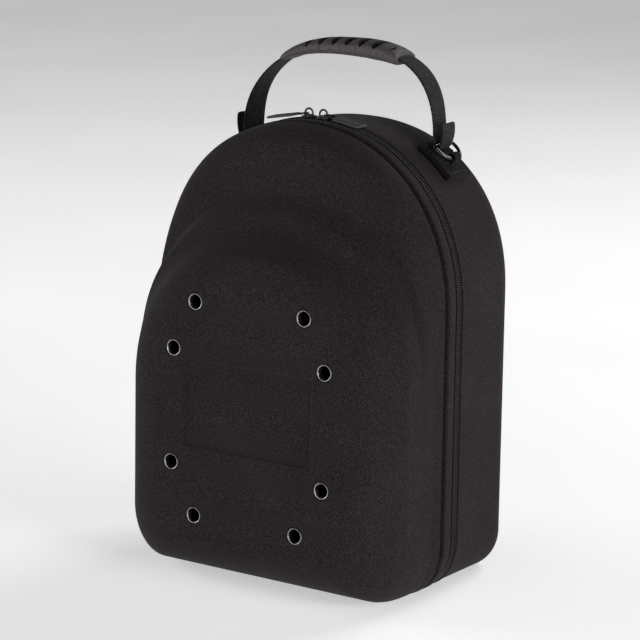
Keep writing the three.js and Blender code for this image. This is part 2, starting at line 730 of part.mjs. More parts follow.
function gripHeights(share) {
  const next = Math.max(GRIP_SECTIONS.findIndex((row) => row.along >= share), 1);
  const [a, b] = [GRIP_SECTIONS[next - 1], GRIP_SECTIONS[next]];
  const blend = (share - a.along) / (b.along - a.along);
  return { over: a.over + (b.over - a.over) * blend, under: a.under + (b.under - a.under) * blend };
}

// A frame on the handle's curve: its point, its way along and its way out
function handleFrame(x) {
  const turn = turnAt(x);
  const point = handlePoint(turn);
  const step = handlePoint(Math.min(turn + 0.01, Math.PI / 2)).sub(handlePoint(turn - 0.01)).normalize();
  return { point, out: new THREE.Vector2(-step.y, step.x) };
}

function handleGrip() {
  const outer = [];
  const inner = [];
  for (let i = 0; i <= GRIP_STEPS; i += 1) {
    const x = GRIP_HALF * (-1 + (2 * i) / GRIP_STEPS);
    const { point, out } = handleFrame(x);
    const { over, under } = gripHeights(Math.abs(x) / GRIP_HALF);
    const place = (across, height) => new THREE.Vector3(
      point.x + out.x * height, handleY + across, point.y + out.y * height);
    const around = Array.from({ length: ROUND_SIDES }, (_, n) => (2 * Math.PI * (n + 0.5)) / ROUND_SIDES);
    const soft = (value) => Math.sign(value) * Math.abs(value) ** 0.7;
    outer.push(around.map((turn) => place(
      (GRIP_WIDTH / 2) * soft(Math.cos(turn)), soft(Math.sin(turn)) * (Math.sin(turn) > 0 ? over : under))));
    const slitHalf = STRAP_THICK / 2 + CLEARANCE;
    const slitWide = STRAP_WIDTH / 2 + CLEARANCE;
    inner.push(around.map((turn) => place(
      slitWide * Math.max(-1, Math.min(1, 1.5 * Math.cos(turn))), slitHalf * Math.sign(Math.sin(turn)))));
  }
  const sleeve = skin([...outer, ...inner.reverse()], true);
  const slots = Array.from({ length: GRIP_SLOTS }, (_, i) => {
    const x = SLOT_PITCH * (i - (GRIP_SLOTS - 1) / 2);
    const { point, out } = handleFrame(x);
    const { over } = gripHeights(Math.abs(x) / GRIP_HALF);
    const height = over - SLOT_SINK;
    return new THREE.CylinderGeometry(1, 1, 2 * SLOT_SINK, ROUND_SIDES)
      .scale(SLOT_WIDE / 2, 1, SLOT_LONG / 2)
      .translate(0, SLOT_SINK, 0)
      .rotateY(SLOT_SLANT)
      .rotateX(Math.PI / 2)
      .rotateY(Math.atan2(out.x, out.y))
      .translate(point.x + out.x * height, handleY, point.y + out.y * height);
  });
  return cut(sleeve, slots);
}

// Assembly
const carrier = new THREE.Group();

function add(name, geometry, material, parent = carrier) {
  const mesh = new THREE.Mesh(geometry, material);
  mesh.name = name;
  parent.add(mesh);
  return mesh;
}

add('front_shell', frontShell(), cloth);
add('back_shell', backShell(), cloth);
add('zipper_coil', zipperCoil(), coil);
add('zipper_tape_front', zipperTape(-1), tape);
add('zipper_tape_back', zipperTape(1), tape);
add('hinge_strip', hingeStrip(), tape);

eyeletPlaces.forEach(({ x, z }, i) => {
  onFace(add(`eyelet_${i + 1}`, eyelet(), darkMetal), x, z, EYELET_SINK);
});

for (const [side, hand] of [['left', -1], ['right', 1]]) {
  add(`slider_${side}`, sliderBody(hand), darkMetal);
  const pull = new THREE.Group();
  pull.position.set(SLIDER_CENTRE + hand * SLIDER_OFFSET, seamY, bailZ);
  pull.rotation.y = hand * PULL_DROOP;
  const turned = new THREE.Group();
  turned.rotation.z = hand > 0 ? 0 : Math.PI;
  pull.add(turned);
  carrier.add(pull);
  add(`pull_link_${side}`, pullLink(), darkMetal, turned);
  add(`pull_tab_${side}`, pullTab(), tabRubber, turned);
  add(`strap_anchor_${side}`, strapAnchor(hand), webbing);
  add(`d_ring_${side}`, dRing(hand), wireMetal);
}

add('handle_strap', handleStrap(), webbing);
add('handle_grip', handleGrip(), gripRubber);

export default carrier;
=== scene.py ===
# Dressed scene of the cap carrier case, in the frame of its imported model. The shapes are
# worked out in millimetres and become metres when their meshes are made.
import math

import bmesh
import bpy
import numpy as np
from mathutils import Matrix, Vector


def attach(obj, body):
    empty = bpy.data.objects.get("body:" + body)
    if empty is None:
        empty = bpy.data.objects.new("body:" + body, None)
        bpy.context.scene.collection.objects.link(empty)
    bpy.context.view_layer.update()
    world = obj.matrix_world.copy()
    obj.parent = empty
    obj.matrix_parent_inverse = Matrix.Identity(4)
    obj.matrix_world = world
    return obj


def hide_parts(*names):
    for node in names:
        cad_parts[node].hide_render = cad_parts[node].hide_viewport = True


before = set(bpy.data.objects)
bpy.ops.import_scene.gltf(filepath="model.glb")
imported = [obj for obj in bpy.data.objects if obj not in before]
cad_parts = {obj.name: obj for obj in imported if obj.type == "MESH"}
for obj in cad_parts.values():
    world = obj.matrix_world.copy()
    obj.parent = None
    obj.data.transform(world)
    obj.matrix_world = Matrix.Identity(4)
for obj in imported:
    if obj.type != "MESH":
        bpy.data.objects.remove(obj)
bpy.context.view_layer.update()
MM = 0.001

# Case outline and shells
CASE_WIDTH = 252.0
CASE_HEIGHT = 352.0
ARCH_RISE = 132.0
ARCH_POWER = 2.1
CORNER_WIDE = 30.0
CORNER_TALL = 42.0
FRONT_DEPTH = 96.5
BACK_DEPTH = 84.5
BACK_ROUNDING = 25.0
BACK_CROWN_FALL = 5.5
BACK_POWER = 2.25
BACK_CORNER_WIDE = 24.0
BACK_CORNER_TALL = 28.0
FRONT_FOOT_LONG = 66.0
FRONT_FOOT_TALL = 40.0
SHELL_WALL = 4.0
COIL_CHANNEL = 8.0
SEAM_Y = (FRONT_DEPTH - BACK_DEPTH) / 2
FRONT_LIP_Y = SEAM_Y - COIL_CHANNEL / 2
BACK_LIP_Y = SEAM_Y + COIL_CHANNEL / 2
CLEARANCE = 0.3

# Steps round the case: base, corner, side and arch of one half
FOOT_STEPS = 24
CORNER_STEPS = 16
SIDE_STEPS = 48
ARCH_STEPS = 76

# Sections of the front shell: half width, crown, spring, arch power, corner share, and depth at
# the foot and at the crown
FRONT_SECTIONS = [
    (125.4, 351.4, 220.0, 2.10, 0.99, 17.4, 17.4),
    (125.0, 351.0, 218.0, 2.14, 0.98, 18.8, 19.2),
    (123.8, 349.2, 208.0, 2.25, 0.97, 22.5, 25.5),
    (122.8, 345.5, 194.0, 2.32, 0.97, 27.0, 32.5),
    (122.5, 340.0, 182.0, 2.32, 0.96, 31.5, 38.5),
    (122.2, 329.0, 174.0, 2.25, 0.96, 36.5, 42.5),
    (122.0, 314.0, 172.0, 2.14, 0.95, 41.5, 43.3),
    (121.9, 303.0, 173.0, 2.10, 0.95, 44.5, 44.6),
    (121.8, 297.0, 175.0, 2.10, 0.95, 48.0, 48.5),
    (121.6, 292.0, 175.0, 2.10, 0.95, 52.5, 54.5),
    (121.4, 285.5, 173.0, 2.12, 0.94, 58.0, 58.8),
    (120.8, 277.0, 167.0, 2.12, 0.93, 63.0, 61.0),
    (119.2, 271.5, 160.0, 2.12, 0.92, 69.5, 65.0),
    (116.0, 267.5, 152.0, 2.12, 0.90, 76.5, 72.0),
    (111.0, 263.5, 150.0, 2.10, 0.88, 83.0, 79.5),
    (103.0, 259.0, 152.0, 2.05, 0.85, 90.0, 85.3),
    (93.5, 253.0, 157.0, 2.00, 0.82, 94.5, 88.3),
    (84.0, 247.0, 162.0, 2.00, 0.79, 96.5, 89.3),
]
# The lip beside the zipper and the groove behind it: inset from the rim, and depth
FRONT_LIP = [(3.0, 5.0), (3.0, 3.1), (2.6, 2.5), (1.3, 2.3), (0.4, 2.6), (0.02, 3.5), (-0.15, 6.0),
             (0.0, 10.0), (0.4, 11.2), (1.4, 11.9), (3.2, 12.2), (4.7, 12.5), (5.4, 13.4), (5.4, 14.9),
             (4.6, 16.0), (2.6, 16.7), (1.0, 17.1)]
GROOVE_SINK = 5.4
GROOVE_WALL = 2.0
INNER_RIM_DEPTHS = (6.0, 19.0)
BACK_LIP = [(3.0, 5.0), (3.0, 0.0), (2.6, -0.6), (1.2, -0.65), (0.35, -0.45), (-0.1, 0.1), (-0.2, 0.9),
            (-0.1, 1.7), (0.35, 2.3), (0.95, 2.7), (1.1, 3.6), (1.0, 6.0), (1.0, 9.0)]

PANEL_WIDTH = 117.0
PANEL_HEIGHT = 69.0
PANEL_CENTRE = 143.0
PANEL_CORNER = 4.0
PANEL_SINK = 1.5
EYELET_PLACES = [(hand * side * CASE_WIDTH / 2, height * CASE_HEIGHT)
                 for side, height in ((0.385, 0.627), (0.5365, 0.52), (0.54, 0.2685), (0.365, 0.159))
                 for hand in (-1, 1)]
EYELET_SEAT = 7.1
EYELET_HOLE = 6.0
EYELET_SINK = 1.2
BACK_CENTRE = 170.0

# Zipper, sliders and pulls
HINGE_HALF = 55.0
HINGE_REACH = 9.6
HINGE_INSET = 4.0
TAPE_REACH = 5.7
COIL_INSET = 1.5
TOOTH_PITCH = 1.8
TOOTH_REACH = 3.3
TOOTH_SLANT = 0.03
# Across a tooth from the middle of the chain: place, height and thickness
TOOTH_SPANS = ((0.1, -0.1, 0.7), (0.6, 0.25, 1.0), (1.7, 0.4, 1.0), (2.7, 0.35, 0.95), (3.3, 0.1, 0.85))
TOOTH_RADIUS = 0.48
SLIDER_CENTRE = -3.5
SLIDER_OFFSET = 6.5
PLATE_TOP = CASE_HEIGHT + CLEARANCE + 1.0
BAIL_Z = PLATE_TOP + 2.0
BAIL_RADIUS = 3.4
BAIL_WIRE = 1.5
PULL_DROOP = math.radians(10)
LINK_WIRE = 1.3
LINK_START = BAIL_RADIUS - BAIL_WIRE / 2 - CLEARANCE - LINK_WIRE
LINK_LENGTH = 10.4
LINK_WIDTH = 7.0
TAB_LENGTH = 23.5
TAB_WIDTH = 15.0
TAB_THICK = 1.8
TAB_RIDGES = 7
RIDGE_PITCH = 2.5

# Handle and anchors
HANDLE_Y = BACK_LIP_Y + 39.0
HANDLE_TOP = 402.5
HANDLE_ROUNDNESS = {1: 2.75, -1: 2.45}
STRAP_WIDTH = 22.0
STRAP_THICK = 1.8
RIB_PITCH = 2.4
RIB_RISE = 0.22
TAIL_LENGTHS = {1: 16.5, -1: 18.0}
TAIL_LEAN = math.radians(5)
TAIL_CORNER = 2.5
HANDLE_SKEW = 2.5
GRIP_HALF = 52.5
GRIP_SHIFT = -4.0
GRIP_WIDTH = 28.0
GRIP_END_LONG = 16.0
GRIP_END_ARCH = 4.0
GRIP_EDGE = 2.4
SLOTS = 6
SLOT_PITCH = 12.0
SLOT_START = 1.5
SLOT_SHIFT = -3.2
CRESCENT_PLACE = 42.0
CRESCENT_SHIFT = -6.0
# Thickness over and under the strap, at shares of the way from the grip's middle to its end
GRIP_ALONG = (0.0, 0.3, 0.6, 0.85, 1.0)
GRIP_OVER = (6.6, 6.6, 6.2, 5.4, 4.2)
GRIP_UNDERS = {1: (6.6, 7.6, 8.2, 7.4, 6.2), -1: (6.6, 5.8, 4.4, 3.0, 2.4)}
ANCHOR_WIDTH = 31.0
ANCHOR_THICK = 6.0
ANCHOR_START = math.radians(31.5)
ANCHOR_END = math.radians(48)
LOOP_ANGLES = {1: math.radians(41.7), -1: math.radians(47.5)}
LOOP_STANDOFF = 10.5
LOOP_WALL = 1.5
LOOP_WIDTH = 9.0
RING_WIRE = 2.8
RING_WIDTH = 30.0
RING_HEIGHT = 14.0
RING_LEANS = {1: math.radians(49), -1: math.radians(46)}
SIDE_TWISTS = {1: math.radians(5), -1: math.radians(11)}
# Above a ring's bar, the heights between which the strap's twist fades out
TWIST_FADE = (12.0, 56.0)

# Light
WORLD_STRENGTH = 0.8
RIGHT_POWER = 44.0
LEFT_POWER = 30.0
FRONT_POWER = 16.0
REAR_POWER = 24.0
FLOOR_GLOW = 0.47
FLOOR_HALF = 6.0
PICTURE_WIDTH = 640


# Materials
def linear(colour):
    """Linear colour of an sRGB hex value"""
    channels = [int(colour[i:i + 2], 16) / 255 for i in (0, 2, 4)]
    return [c / 12.92 if c <= 0.04045 else ((c + 0.055) / 1.055) ** 2.4 for c in channels] + [1.0]


def add(tree, kind, inputs=None, **settings):
    """A node with its settings, its input values and its links"""
    node = tree.nodes.new(kind)
    for key, value in settings.items():
        setattr(node, key, value)
    for socket, source in (inputs or {}).items():
        if isinstance(source, bpy.types.NodeSocket):
            tree.links.new(source, node.inputs[socket])
        else:
            node.inputs[socket].default_value = source
    return node


def shader_tree(name, inputs):
    material = bpy.data.materials.new(name)
    material.use_nodes = True
    tree = material.node_tree
    shader = tree.nodes["Principled BSDF"]
    for socket, value in inputs.items():
        shader.inputs[socket].default_value = value
    return material, tree, shader


def ramp(tree, source, stops):
    """A colour ramp over a grey value, from pairs of a position and a hex colour"""
    node = add(tree, "ShaderNodeValToRGB", {"Fac": source})
    elements = node.color_ramp.elements
    while len(elements) < len(stops):
        elements.new(0.5)
    for element, (position, colour) in zip(elements, stops):
        element.position = position
        element.color = linear(colour)
    return node.outputs["Color"]


def blend(tree, share, first, second, kind="MIX"):
    node = add(tree, "ShaderNodeMix", {"Factor": share}, data_type="RGBA", blend_type=kind)
    for socket, source in ((node.inputs[6], first), (node.inputs[7], second)):
        if isinstance(source, bpy.types.NodeSocket):
            tree.links.new(source, socket)
        else:
            socket.default_value = linear(source)
    return node.outputs[2]


def noise(tree, place, scale, detail=2.0, rough=0.5):
    return add(tree, "ShaderNodeTexNoise",
               {"Vector": place, "Scale": scale, "Detail": detail, "Roughness": rough}).outputs["Fac"]


def bump(tree, height, distance, strength=1.0, under=None):
    inputs = {"Height": height, "Distance": distance, "Strength": strength}
    if under is not None:
        inputs["Normal"] = under
    return add(tree, "ShaderNodeBump", inputs).outputs["Normal"]


def cloth_material(name, dark, middle, light):
    """Fine knit laminated on foam: small cells, mixed yarns and a slow drift of tone"""
    material, tree, shader = shader_tree(name, {
        "Roughness": 0.95, "Sheen Weight": 0.03, "Sheen Roughness": 0.5, "Specular IOR Level": 0.08})
    place = add(tree, "ShaderNodeTexCoord").outputs["Object"]
    yarn = noise(tree, place, 950.0, 2.0, 0.6)
    drift = noise(tree, place, 16.0, 3.0, 0.55)
    colour = ramp(tree, yarn, [(0.36, dark), (0.5, middle), (0.66, light)])
    shade = ramp(tree, drift, [(0.3, "e8e8e8"), (0.7, "ffffff")])
    tree.links.new(blend(tree, 1.0, colour, shade, "MULTIPLY"), shader.inputs["Base Color"])
    cells = add(tree, "ShaderNodeTexVoronoi", {"Vector": place, "Scale": 1150.0}).outputs["Distance"]
    slow = bump(tree, noise(tree, place, 30.0, 2.0), 0.0002, 0.15)
    tree.links.new(bump(tree, cells, 0.0002, 0.4, slow), shader.inputs["Normal"])
    return material


def webbing_material(name, dark, light):
    """Woven webbing: its ribs are in the mesh, its yarns lie across them like bricks, and the near-black
    mortar lines between the rib rows are painted shade in the grooves
    """
    material, tree, shader = shader_tree(name, {
        "Roughness": 0.75, "Sheen Weight": 0.03, "Sheen Roughness": 0.4, "Specular IOR Level": 0.15})
    place = add(tree, "ShaderNodeTexCoord")
    # The two brick colours are the yarns' own tones; the near-black mortar is painted shade in the grooves
    # between the ribs
    yarns_and_groove_shade = add(tree, "ShaderNodeTexBrick", {
        "Vector": place.outputs["UV"], "Color1": linear(light), "Color2": linear(dark),
        "Mortar": linear("080707"), "Scale": 1.0, "Mortar Size": 0.02, "Mortar Smooth": 0.7, "Bias": 0.0,
        "Brick Width": 1 / 11, "Row Height": RIB_PITCH / STRAP_WIDTH}, offset=0.5)
    grain = noise(tree, place.outputs["Object"], 1600.0, 2.0)
    shade = ramp(tree, grain, [(0.3, "9a9a9a"), (0.7, "ffffff")])
    tree.links.new(blend(tree, 1.0, yarns_and_groove_shade.outputs["Color"], shade, "MULTIPLY"), shader.inputs["Base Color"])
    threads = bump(tree, grain, 0.00008, 0.6)
    raised = add(tree, "ShaderNodeMath", {0: 1.0, 1: yarns_and_groove_shade.outputs["Fac"]}, operation="SUBTRACT").outputs[0]
    tree.links.new(bump(tree, raised, 0.00025, 0.8, threads), shader.inputs["Normal"])
    return material


def rubber_material(name, dark, light, grain, depth, roughness):
    """Moulded rubber with an even fine grain and a faint drift of gloss"""
    material, tree, shader = shader_tree(name, {"Specular IOR Level": 0.4})
    place = add(tree, "ShaderNodeTexCoord").outputs["Object"]
    speck = noise(tree, place, grain, 3.0, 0.7)
    tree.links.new(ramp(tree, speck, [(0.35, dark), (0.65, light)]), shader.inputs["Base Color"])
    gloss = add(tree, "ShaderNodeMapRange", {
        "Value": noise(tree, place, 60.0), "To Min": roughness - 0.08, "To Max": roughness + 0.1})
    tree.links.new(gloss.outputs["Result"], shader.inputs["Roughness"])
    tree.links.new(bump(tree, speck, depth, 0.7), shader.inputs["Normal"])
    return material


def metal_material(name, dark, light, roughness):
    """Plated wire: slightly uneven gloss with fine rub marks"""
    material, tree, shader = shader_tree(name, {"Metallic": 1.0})
    place = add(tree, "ShaderNodeTexCoord").outputs["Object"]
    marks = noise(tree, place, 320.0, 4.0, 0.6)
    tree.links.new(ramp(tree, marks, [(0.35, dark), (0.6, light)]), shader.inputs["Base Color"])
    gloss = add(tree, "ShaderNodeMapRange", {
        "Value": marks, "To Min": roughness - 0.06, "To Max": roughness + 0.12})
    tree.links.new(gloss.outputs["Result"], shader.inputs["Roughness"])
    tree.links.new(bump(tree, marks, 0.00002, 0.4), shader.inputs["Normal"])
    return material


def plastic_material(name, dark, light, roughness):
    material, tree, shader = shader_tree(name, {"Specular IOR Level": 0.25})
    place = add(tree, "ShaderNodeTexCoord").outputs["Object"]
    marks = noise(tree, place, 700.0, 2.0)
    tree.links.new(ramp(tree, marks, [(0.35, dark), (0.65, light)]), shader.inputs["Base Color"])
    gloss = add(tree, "ShaderNodeMapRange", {
        "Value": marks, "To Min": roughness - 0.05, "To Max": roughness + 0.1})
    tree.links.new(gloss.outputs["Result"], shader.inputs["Roughness"])
    return material


CLOTH = cloth_material("knit_cloth", "1c181a", "262122", "342e31")
WEBBING = webbing_material("ribbed_webbing", "1a1718", "3b3639")
PATCH = cloth_material("sewn_patch_cloth", "0f0d0e", "181516", "242021")
THREAD = cloth_material("sewing_thread", "2b2829", "3a3637", "4b4647")
TAPE = cloth_material("zipper_tape", "0f0d0e", "171516", "221f20")
GRIP = rubber_material("grip_rubber", "302c2f", "565054", 650.0, 0.00012, 0.72)
# Painted shade: a near-black rubber for the insides of the grip's slots, where shade falls
SLOT_PAINTED_SHADE = rubber_material("slot_shadow", "0b0a0a", "141213", 900.0, 0.00008, 0.7)
TAB = rubber_material("tab_rubber", "2a2729", "4c484a", 900.0, 0.0001, 0.6)
TEETH = plastic_material("zipper_teeth", "221f20", "383435", 0.6)
GUNMETAL = metal_material("gunmetal", "26242a", "4a484d", 0.34)
NICKEL = metal_material("dark_nickel", "38363a", "5a585d", 0.2)
EYELET_METAL = metal_material("eyelet_nickel", "77757a", "9f9da2", 0.34)


# Mesh tools
def rise(x, low, high, first, last):
    """Goes from first to last while x goes from low to high, softly at both ends"""
    share = np.clip((x - low) / (high - low), 0, 1)
    return first + (last - first) * share * share * (3 - 2 * share)


def smooth_rows(table, step, weights):
    """Rows between the rows of a table, about one step apart, that never overshoot them"""
    rows = np.asarray(table, float)
    lengths = np.linalg.norm(np.diff(rows[:, weights], axis=0), axis=1) + 1e-6
    at = np.r_[0, np.cumsum(lengths)]
    slopes = np.diff(rows, axis=0) / lengths[:, None]
    tangents = np.zeros_like(rows)
    tangents[0], tangents[-1] = slopes[0], slopes[-1]
    before, after = slopes[:-1], slopes[1:]
    same = before * after > 0
    tangents[1:-1] = np.where(same, 2 * before * after / np.where(same, before + after, 1), 0)
    found = np.linspace(0, at[-1], max(int(at[-1] / step), len(rows)) + 1)
    k = np.clip(np.searchsorted(at, found, "right") - 1, 0, len(lengths) - 1)
    h = lengths[k][:, None]
    u = ((found - at[k]) / lengths[k])[:, None]
    return ((2 * u**3 - 3 * u**2 + 1) * rows[k] + (u**3 - 2 * u**2 + u) * h * tangents[k]
            + (3 * u**2 - 2 * u**3) * rows[k + 1] + (u**3 - u**2) * h * tangents[k + 1])


def loft(rows, closed=False):
    """A stack of closed loops of points and whether its last loop joins its first"""
    return np.array(rows), closed


def moved(part, shift):
    rows, closed = part
    return rows + np.array(shift), closed


def skin(rows, closed):
    """Points and faces of a stack of loops: quads between them, and fans over its open ends"""
    count, size = rows.shape[:2]
    points = rows.reshape(-1, 3)
    faces = []
    for j in range(count if closed else count - 1):
        here, after = j * size, (j + 1) % count * size
        for k in range(size):
            n = (k + 1) % size
            faces.append((here + k, here + n, after + n, after + k))
    if not closed:
        middle, last = len(points), (count - 1) * size
        points = np.vstack([points, rows[0].mean(0), rows[-1].mean(0)])
        for k in range(size):
            n = (k + 1) % size
            faces += [(middle, n, k), (middle + 1, last + k, last + n)]
    return points, faces


def mesh_object(name, parts, materials, sharp=35, uv=None):
    """An object from lofts. The UVs are those of its points in the lofts' order."""
    points, faces, start = [], [], 0
    for part_points, part_faces in (skin(*part) for part in parts):
        points.append(part_points)
        faces += [tuple(start + i for i in face) for face in part_faces]
        start += len(part_points)
    mesh = bpy.data.meshes.new(name)
    mesh.from_pydata((np.vstack(points) * MM).tolist(), [], faces)
    for material in materials:
        mesh.materials.append(material)
    if uv is not None:
        layer = mesh.uv_layers.new(name="uv")
        index = np.empty(len(mesh.loops), int)
        mesh.loops.foreach_get("vertex_index", index)
        layer.data.foreach_set("uv", np.asarray(uv, float)[index].ravel())
    body = bmesh.new()
    body.from_mesh(mesh)
    bmesh.ops.recalc_face_normals(body, faces=body.faces)
    body.to_mesh(mesh)
    body.free()
    obj = bpy.data.objects.new(name, mesh)
    bpy.context.collection.objects.link(obj)
    soften(obj, sharp)
    return obj


def soften(obj, sharp):
    obj.data.shade_smooth()
    obj.data.set_sharp_from_angle(angle=math.radians(sharp))


def placed(obj, body, slot, *nodes):
    """Says what a piece rides on and hides the imported parts that it stands for. Its slot is not used."""
    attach(obj, body)
    if nodes:
        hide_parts(*nodes)
    return obj


def applied(obj):
    """Fixes an object's modifiers into its mesh"""
    seen = obj.evaluated_get(bpy.context.evaluated_depsgraph_get())
    mesh = bpy.data.meshes.new_from_object(seen)
    obj.modifiers.clear()
    obj.data = mesh
    return obj


def carve(obj, cutter):
    change = obj.modifiers.new("carve", "BOOLEAN")
    change.operation = "DIFFERENCE"
    change.solver = "EXACT"
    change.object = cutter
    applied(obj)
    bpy.data.objects.remove(cutter)
    return obj


def tube(path, radius, sides, closed=True):
    """A round wire along a path, turned with its bends"""
    path = np.asarray(path, float)
    if closed:
        along = np.roll(path, -1, 0) - np.roll(path, 1, 0)
    else:
        along = np.gradient(path, axis=0)
    along /= np.linalg.norm(along, axis=1)[:, None]
    side = np.cross(along[0], [0.3, 0.9, 0.2])
    rows = []
    turn = 2 * np.pi * np.arange(sides) / sides
    for p, t in zip(path, along):
        side = side - t * (side @ t)
        side /= np.linalg.norm(side)
        up = np.cross(t, side)
        rows.append(p + radius * (np.cos(turn)[:, None] * side + np.sin(turn)[:, None] * up))
    return loft(rows, closed)


def rounded_rectangle(width, height, radius, steps):
    """Points of a rounded rectangle, from the middle of its lower side round to it again"""
    points = [(0.0, -height / 2)]
    for cx, cy, start in ((1, -1, -90), (1, 1, 0), (-1, 1, 90), (-1, -1, 180)):
        for i in range(steps + 1):
            turn = math.radians(start + 90 * i / steps)
            points.append((cx * (width / 2 - radius) + radius * math.cos(turn),
                           cy * (height / 2 - radius) + radius * math.sin(turn)))
    return np.array(points)


def pillow(shape, profile):
    """A plate from a flat outline (x, y): rows of an inset and a height, first to last"""
    middle = shape.mean(0)
    reach = np.abs(shape - middle).max(0)
    rows = []
    for inset, height in profile:
        flat = middle + (shape - middle) * (1 - inset / reach)
        rows.append(np.c_[flat, np.full(len(flat), height)])
    return loft(rows)


def resample(path, step):
    path = np.asarray(path, float)
    lengths = np.r_[0, np.cumsum(np.linalg.norm(np.diff(path, axis=0), axis=1))]
    found = np.linspace(0, lengths[-1], int(round(lengths[-1] / step)) + 1)
    return np.stack([np.interp(found, lengths, path[:, i]) for i in range(path.shape[1])], 1), found


def stitches(places, ways, normals, length, radius):
    """Short raised threads, one at each place"""
    parts = []
    turn = 2 * np.pi * np.arange(6) / 6
    for p, t, n in zip(places, ways, normals):
        side = np.cross(t, n)
        rows = []
        for u in (-1, -0.7, 0, 0.7, 1):
            r = radius * (0.35 if abs(u) == 1 else 1.0)
            lift = radius * (0.9 - 0.9 * u * u)
            middle = p + t * (u * length / 2) + n * lift
            rows.append(middle + r * (np.cos(turn)[:, None] * side + np.sin(turn)[:, None] * n))
        parts.append(loft(rows))
    return parts


# Case shells
def outline(half, crown, spring, foot, wide, tall, power=2.0):
    """Points (x, z) round the case, from the middle of the base up the right side"""
    u = np.linspace(0, 1, FOOT_STEPS, endpoint=False)
    right = [np.c_[(half - wide) * u, np.full_like(u, foot)]]
    turn = np.linspace(0, np.pi / 2, CORNER_STEPS, endpoint=False)
    right.append(np.c_[half - wide + wide * np.sin(turn), foot + tall * (1 - np.cos(turn))])
    u = np.linspace(0, 1, SIDE_STEPS, endpoint=False)
    right.append(np.c_[np.full_like(u, half), foot + tall + (spring - foot - tall) * u])
    turn = np.linspace(0, np.pi / 2, ARCH_STEPS + 1)
    across, up = np.cos(turn).clip(0) ** (2 / power), np.sin(turn) ** (2 / power)
    right.append(np.c_[half * across, spring + (crown - spring) * up])
    right = np.vstack(right)
    return np.vstack([right, right[1:-1][::-1] * [-1, 1]])


def rim(inset, foot_inset=None):
    foot_inset = inset if foot_inset is None else foot_inset
    return outline(CASE_WIDTH / 2 - inset, CASE_HEIGHT - inset, CASE_HEIGHT - ARCH_RISE, foot_inset,
                   CORNER_WIDE - inset, CORNER_TALL - inset, ARCH_POWER)


def at_depth(flat, y):
    return np.stack([flat[:, 0], np.full(len(flat), y) if np.isscalar(y) else y, flat[:, 1]], 1)


def section_foot(low):
    into = max(1 - (FRONT_DEPTH - low) / FRONT_FOOT_LONG, 0)
    return FRONT_FOOT_TALL * (1 - math.sqrt(1 - into * into))


def front_row(row, wall=0.0):
    half, crown, spring, power, corner, low, high = row
    foot = section_foot(low)
    flat = outline(half - wall, crown - wall, spring, foot + wall, corner * CORNER_WIDE - wall,
                   corner * CORNER_TALL - wall, power)
    share = (flat[:, 1] - foot) / (crown - foot)
    return at_depth(flat, FRONT_LIP_Y - (low + (high - low) * share) + wall)


FACE = FRONT_SECTIONS[-1]
FACE_LEAN = math.atan2(FACE[5] - FACE[6], FACE[1] - section_foot(FACE[5]))


def face_y(z):
    """Where the flat of the face stands at a height"""
    foot = section_foot(FACE[5])
    return FRONT_LIP_Y - (FACE[5] + (FACE[6] - FACE[5]) * (z - foot) / (FACE[1] - foot))


def on_face(part, x, z, sink=0.0):
    """Turns a part drawn round +Z so that +Z points out of the face, and puts it there"""
    rows, closed = part
    turn = np.array([[1, 0, 0], [0, math.sin(FACE_LEAN), -math.cos(FACE_LEAN)],
                     [0, math.cos(FACE_LEAN), math.sin(FACE_LEAN)]])
    return rows @ turn.T + [x, face_y(z) + sink, z], closed


def panel_loop(columns, inset):
    """The panel's outline, with a point on the ray to each column of the face"""
    shape = rounded_rectangle(PANEL_WIDTH - 2 * inset, PANEL_HEIGHT - 2 * inset,
                              max(PANEL_CORNER - inset, 0.5), 8)
    angle = np.unwrap(np.arctan2(shape[:, 1], shape[:, 0]))
    wanted = np.unwrap(np.arctan2(columns[:, 1] - PANEL_CENTRE, columns[:, 0]))
    wanted = angle[0] + (wanted - angle[0]) % (2 * np.pi)
    full = np.r_[angle, angle[0] + 2 * np.pi]
    closed = np.vstack([shape, shape[:1]])
    return np.stack([np.interp(wanted, full, closed[:, 0]),
                     np.interp(wanted, full, closed[:, 1]) + PANEL_CENTRE], 1)


def turned(profile, sides, closed=False):
    """A solid of revolution round +Z from pairs of a radius and a height"""
    turn = 2 * np.pi * (np.arange(sides) + 0.5) / sides
    rows = [np.c_[r * np.cos(turn), r * np.sin(turn), np.full(sides, h)] for r, h in profile]
    return loft(rows, closed)


